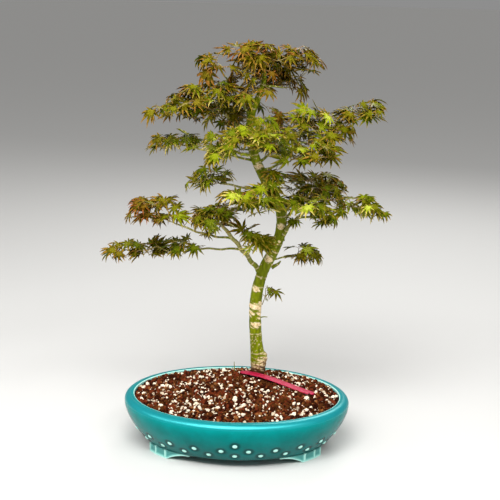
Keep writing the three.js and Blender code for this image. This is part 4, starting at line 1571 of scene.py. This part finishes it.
# %% [markdown]
# ## The label
#
# A strip of pink plastic lies across the soil in front of the trunk. Its line is read from its solid by the
# same cuts as a limb's. The strip is a closed band: across it the surface goes over a rounded edge, and two
# fine raised lines run along its face. It carries no lettering.

# %% The label's line
label_points, label_triangles = solid("plant_label")
LABEL_REACH = 90 * MM
OFF_THE_END, BACK_TO_END = 4 * MM, 3.5 * MM


def label_line(count):
    """Middles of cuts across the strip, from its left end to its right, at the height of its underside."""
    ends = label_points[[label_points[:, 0].argmin(), label_points[:, 0].argmax()]]
    way = unit((ends[1] - ends[0]) * [1, 1, 0])
    middle = middle_of(label_points)
    reach = (label_points - middle) @ way
    places = np.linspace(reach.min() + OFF_THE_END, reach.max() - OFF_THE_END, count)
    origins = middle + way * places[:, None]
    line = np.array([section(label_points, label_triangles, o, way, LABEL_REACH)[0] for o in origins])
    first, last = line[0] - BACK_TO_END * way, line[-1] + BACK_TO_END * way
    return smoothed(np.concatenate([[first], line, [last]]), 2)


# %% The strip's surface
HALF_WIDTH, HALF_THICK = 6.4 * MM, 0.55 * MM
RIDGE_AT, RIDGE_HEIGHT = 3.6 * MM, 0.4 * MM
CURL = 1.3 * MM
LIFT = 1.6 * MM
label_middles = label_line(16)
strip, _, _ = resampled(label_middles, np.zeros(len(label_middles)), 1.2 * MM)
way = unit(np.gradient(strip, axis=0))
level = unit(np.cross((0, 0, 1.0), way))
face_up = np.cross(way, level)
turn = full_turn(40)
across = np.sign(np.cos(turn)) * np.abs(np.cos(turn)) ** 0.25 * HALF_WIDTH
thick = np.sign(np.sin(turn)) * np.abs(np.sin(turn)) ** 0.6 * HALF_THICK
ridge = bell(np.abs(across) - RIDGE_AT, 0.5 * MM) * (np.sin(turn) > 0) * RIDGE_HEIGHT
from_end = np.minimum(np.arange(len(strip)), np.arange(len(strip))[::-1])
end_fade = np.clip(from_end / 3, 0.55, 1)[:, None, None]
curl = CURL * np.sin(np.linspace(0, 5.5, len(strip)))[:, None, None]
ribbon = (
    strip[:, None] + across[:, None] * level[:, None] * end_fade
    + (thick + ridge)[:, None] * face_up[:, None] + curl * [0, 0, 1] + [0, 0, LIFT]
)
points, faces = with_poles(ribbon, ribbon[0].mean(axis=0), ribbon[-1].mean(axis=0))
label = make_piece("blank_label", points, faces)
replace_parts(label, "plant_label")
pink = finish_of("pink_plastic", (186, 24, 68), 0.4, Specular_IOR_Level=0.2)
scuffed = ramp(pink, noise_on(pink, 260, detail=5, stretch=(1, 3, 1)), [
    (0.42, (164, 10, 50)), (0.6, (186, 34, 76)), (0.82, (212, 90, 120)),
])
to_shader(pink, scuffed)
roughen(pink, 420, 3, 0.2, 0.3 * MM)
label.data.materials.append(pink)

# %% [markdown]
# ## Floor, light and camera
#
# The floor is a wide pale disc, too large for its edge to show. A wide, low softbox hangs high in front,
# with a strip at each side of it: the long highlight on the rim is the mirror image of that row. A square
# lamp nearer the tree lights the soil, two weak ones soften the shade at the sides, and one behind edges
# the leaves and lights them for the other views. A faint sun and a grey world even out what is left. The
# camera stands 1.4 m away, a little higher than the top of the tree, and looks slightly down.

# %% Floor
FLOOR_RADIUS = 300.0
FLOOR_SIDES = 64
floor_turn = full_turn(FLOOR_SIDES)
floor_ring = np.stack([np.cos(floor_turn), np.sin(floor_turn), 0 * floor_turn], axis=1) * FLOOR_RADIUS
floor_mesh = bpy.data.meshes.new("floor")
floor_mesh.from_pydata(floor_ring.tolist(), [], [list(range(FLOOR_SIDES))])
floor = put_in_scene("floor", floor_mesh)
floor_mesh.materials.append(finish_of("pale_floor", (222, 221, 218), 0.85))
print("floor", FLOOR_RADIUS * 2, "m across")

# %% Lights
AIM = (0.02, 0, 0.3)


def soft_lamp(name, place, size, power):
    """A white area lamp so wide and so high at a place, turned towards the middle of the tree."""
    data = bpy.data.lights.new(name, "AREA")
    data.shape = "RECTANGLE"
    data.size, data.size_y = size
    data.energy = power
    lamp = put_in_scene(name, data)
    back = unit(np.array(place) - AIM)
    right = unit(np.cross((0, 0, 1.0), back))
    turn = np.stack([right, np.cross(back, right), back], axis=1)
    lamp.matrix_world = Matrix([[*turn[k], place[k]] for k in range(3)] + [[0, 0, 0, 1]])
    print(name, "lamp,", power, "W")


soft_lamp("key", (-0.25, -1.35, 1.65), (1.3, 0.45), 26)
soft_lamp("strip_right", (0.9, -1.2, 1.65), (1.1, 0.2), 11)
soft_lamp("strip_left", (-1.25, -1.1, 1.6), (0.6, 0.2), 6)
soft_lamp("overhead", (-0.08, -0.75, 1.6), (0.7, 0.7), 9)
soft_lamp("fill", (1.5, -1.3, 0.9), (1.4, 1.4), 4)
soft_lamp("left", (-1.5, -0.5, 1.0), (0.9, 0.5), 5)
soft_lamp("edge", (0.5, 1.6, 1.5), (0.9, 0.9), 12)
sky = bpy.data.lights.new("even", "SUN")
sky.energy, sky.angle = 0.4, np.radians(25)
sky_lamp = put_in_scene("even", sky)
sky_lamp.matrix_world = Matrix.Rotation(np.radians(-25), 4, "Y") @ Matrix.Rotation(np.radians(38), 4, "X")
world = bpy.data.worlds.new("studio")
bpy.context.scene.world = world
world.use_nodes = True
studio_grey = world.node_tree.nodes["Background"]
studio_grey.inputs["Color"].default_value = (0.9, 0.9, 0.9, 1)
studio_grey.inputs["Strength"].default_value = 0.3
bpy.context.scene.view_settings.view_transform = "Standard"

# %% Camera
CAMERA_PLACE = (0.0122, -1.4, 0.5865)
PITCH_DOWN = np.radians(12.93)
ROLL = np.radians(1.58)
camera_data = bpy.data.cameras.new("camera")
camera_data.lens = 79.5
camera_data.sensor_width = 36
camera_data.clip_start, camera_data.clip_end = 0.05, 100
camera = put_in_scene("camera", camera_data)
look_down = Matrix.Rotation(np.pi / 2 - PITCH_DOWN, 4, "X")
camera.matrix_world = Matrix.Translation(CAMERA_PLACE) @ look_down @ Matrix.Rotation(ROLL, 4, "Z")
bpy.context.scene.camera = camera
print("camera at", CAMERA_PLACE)
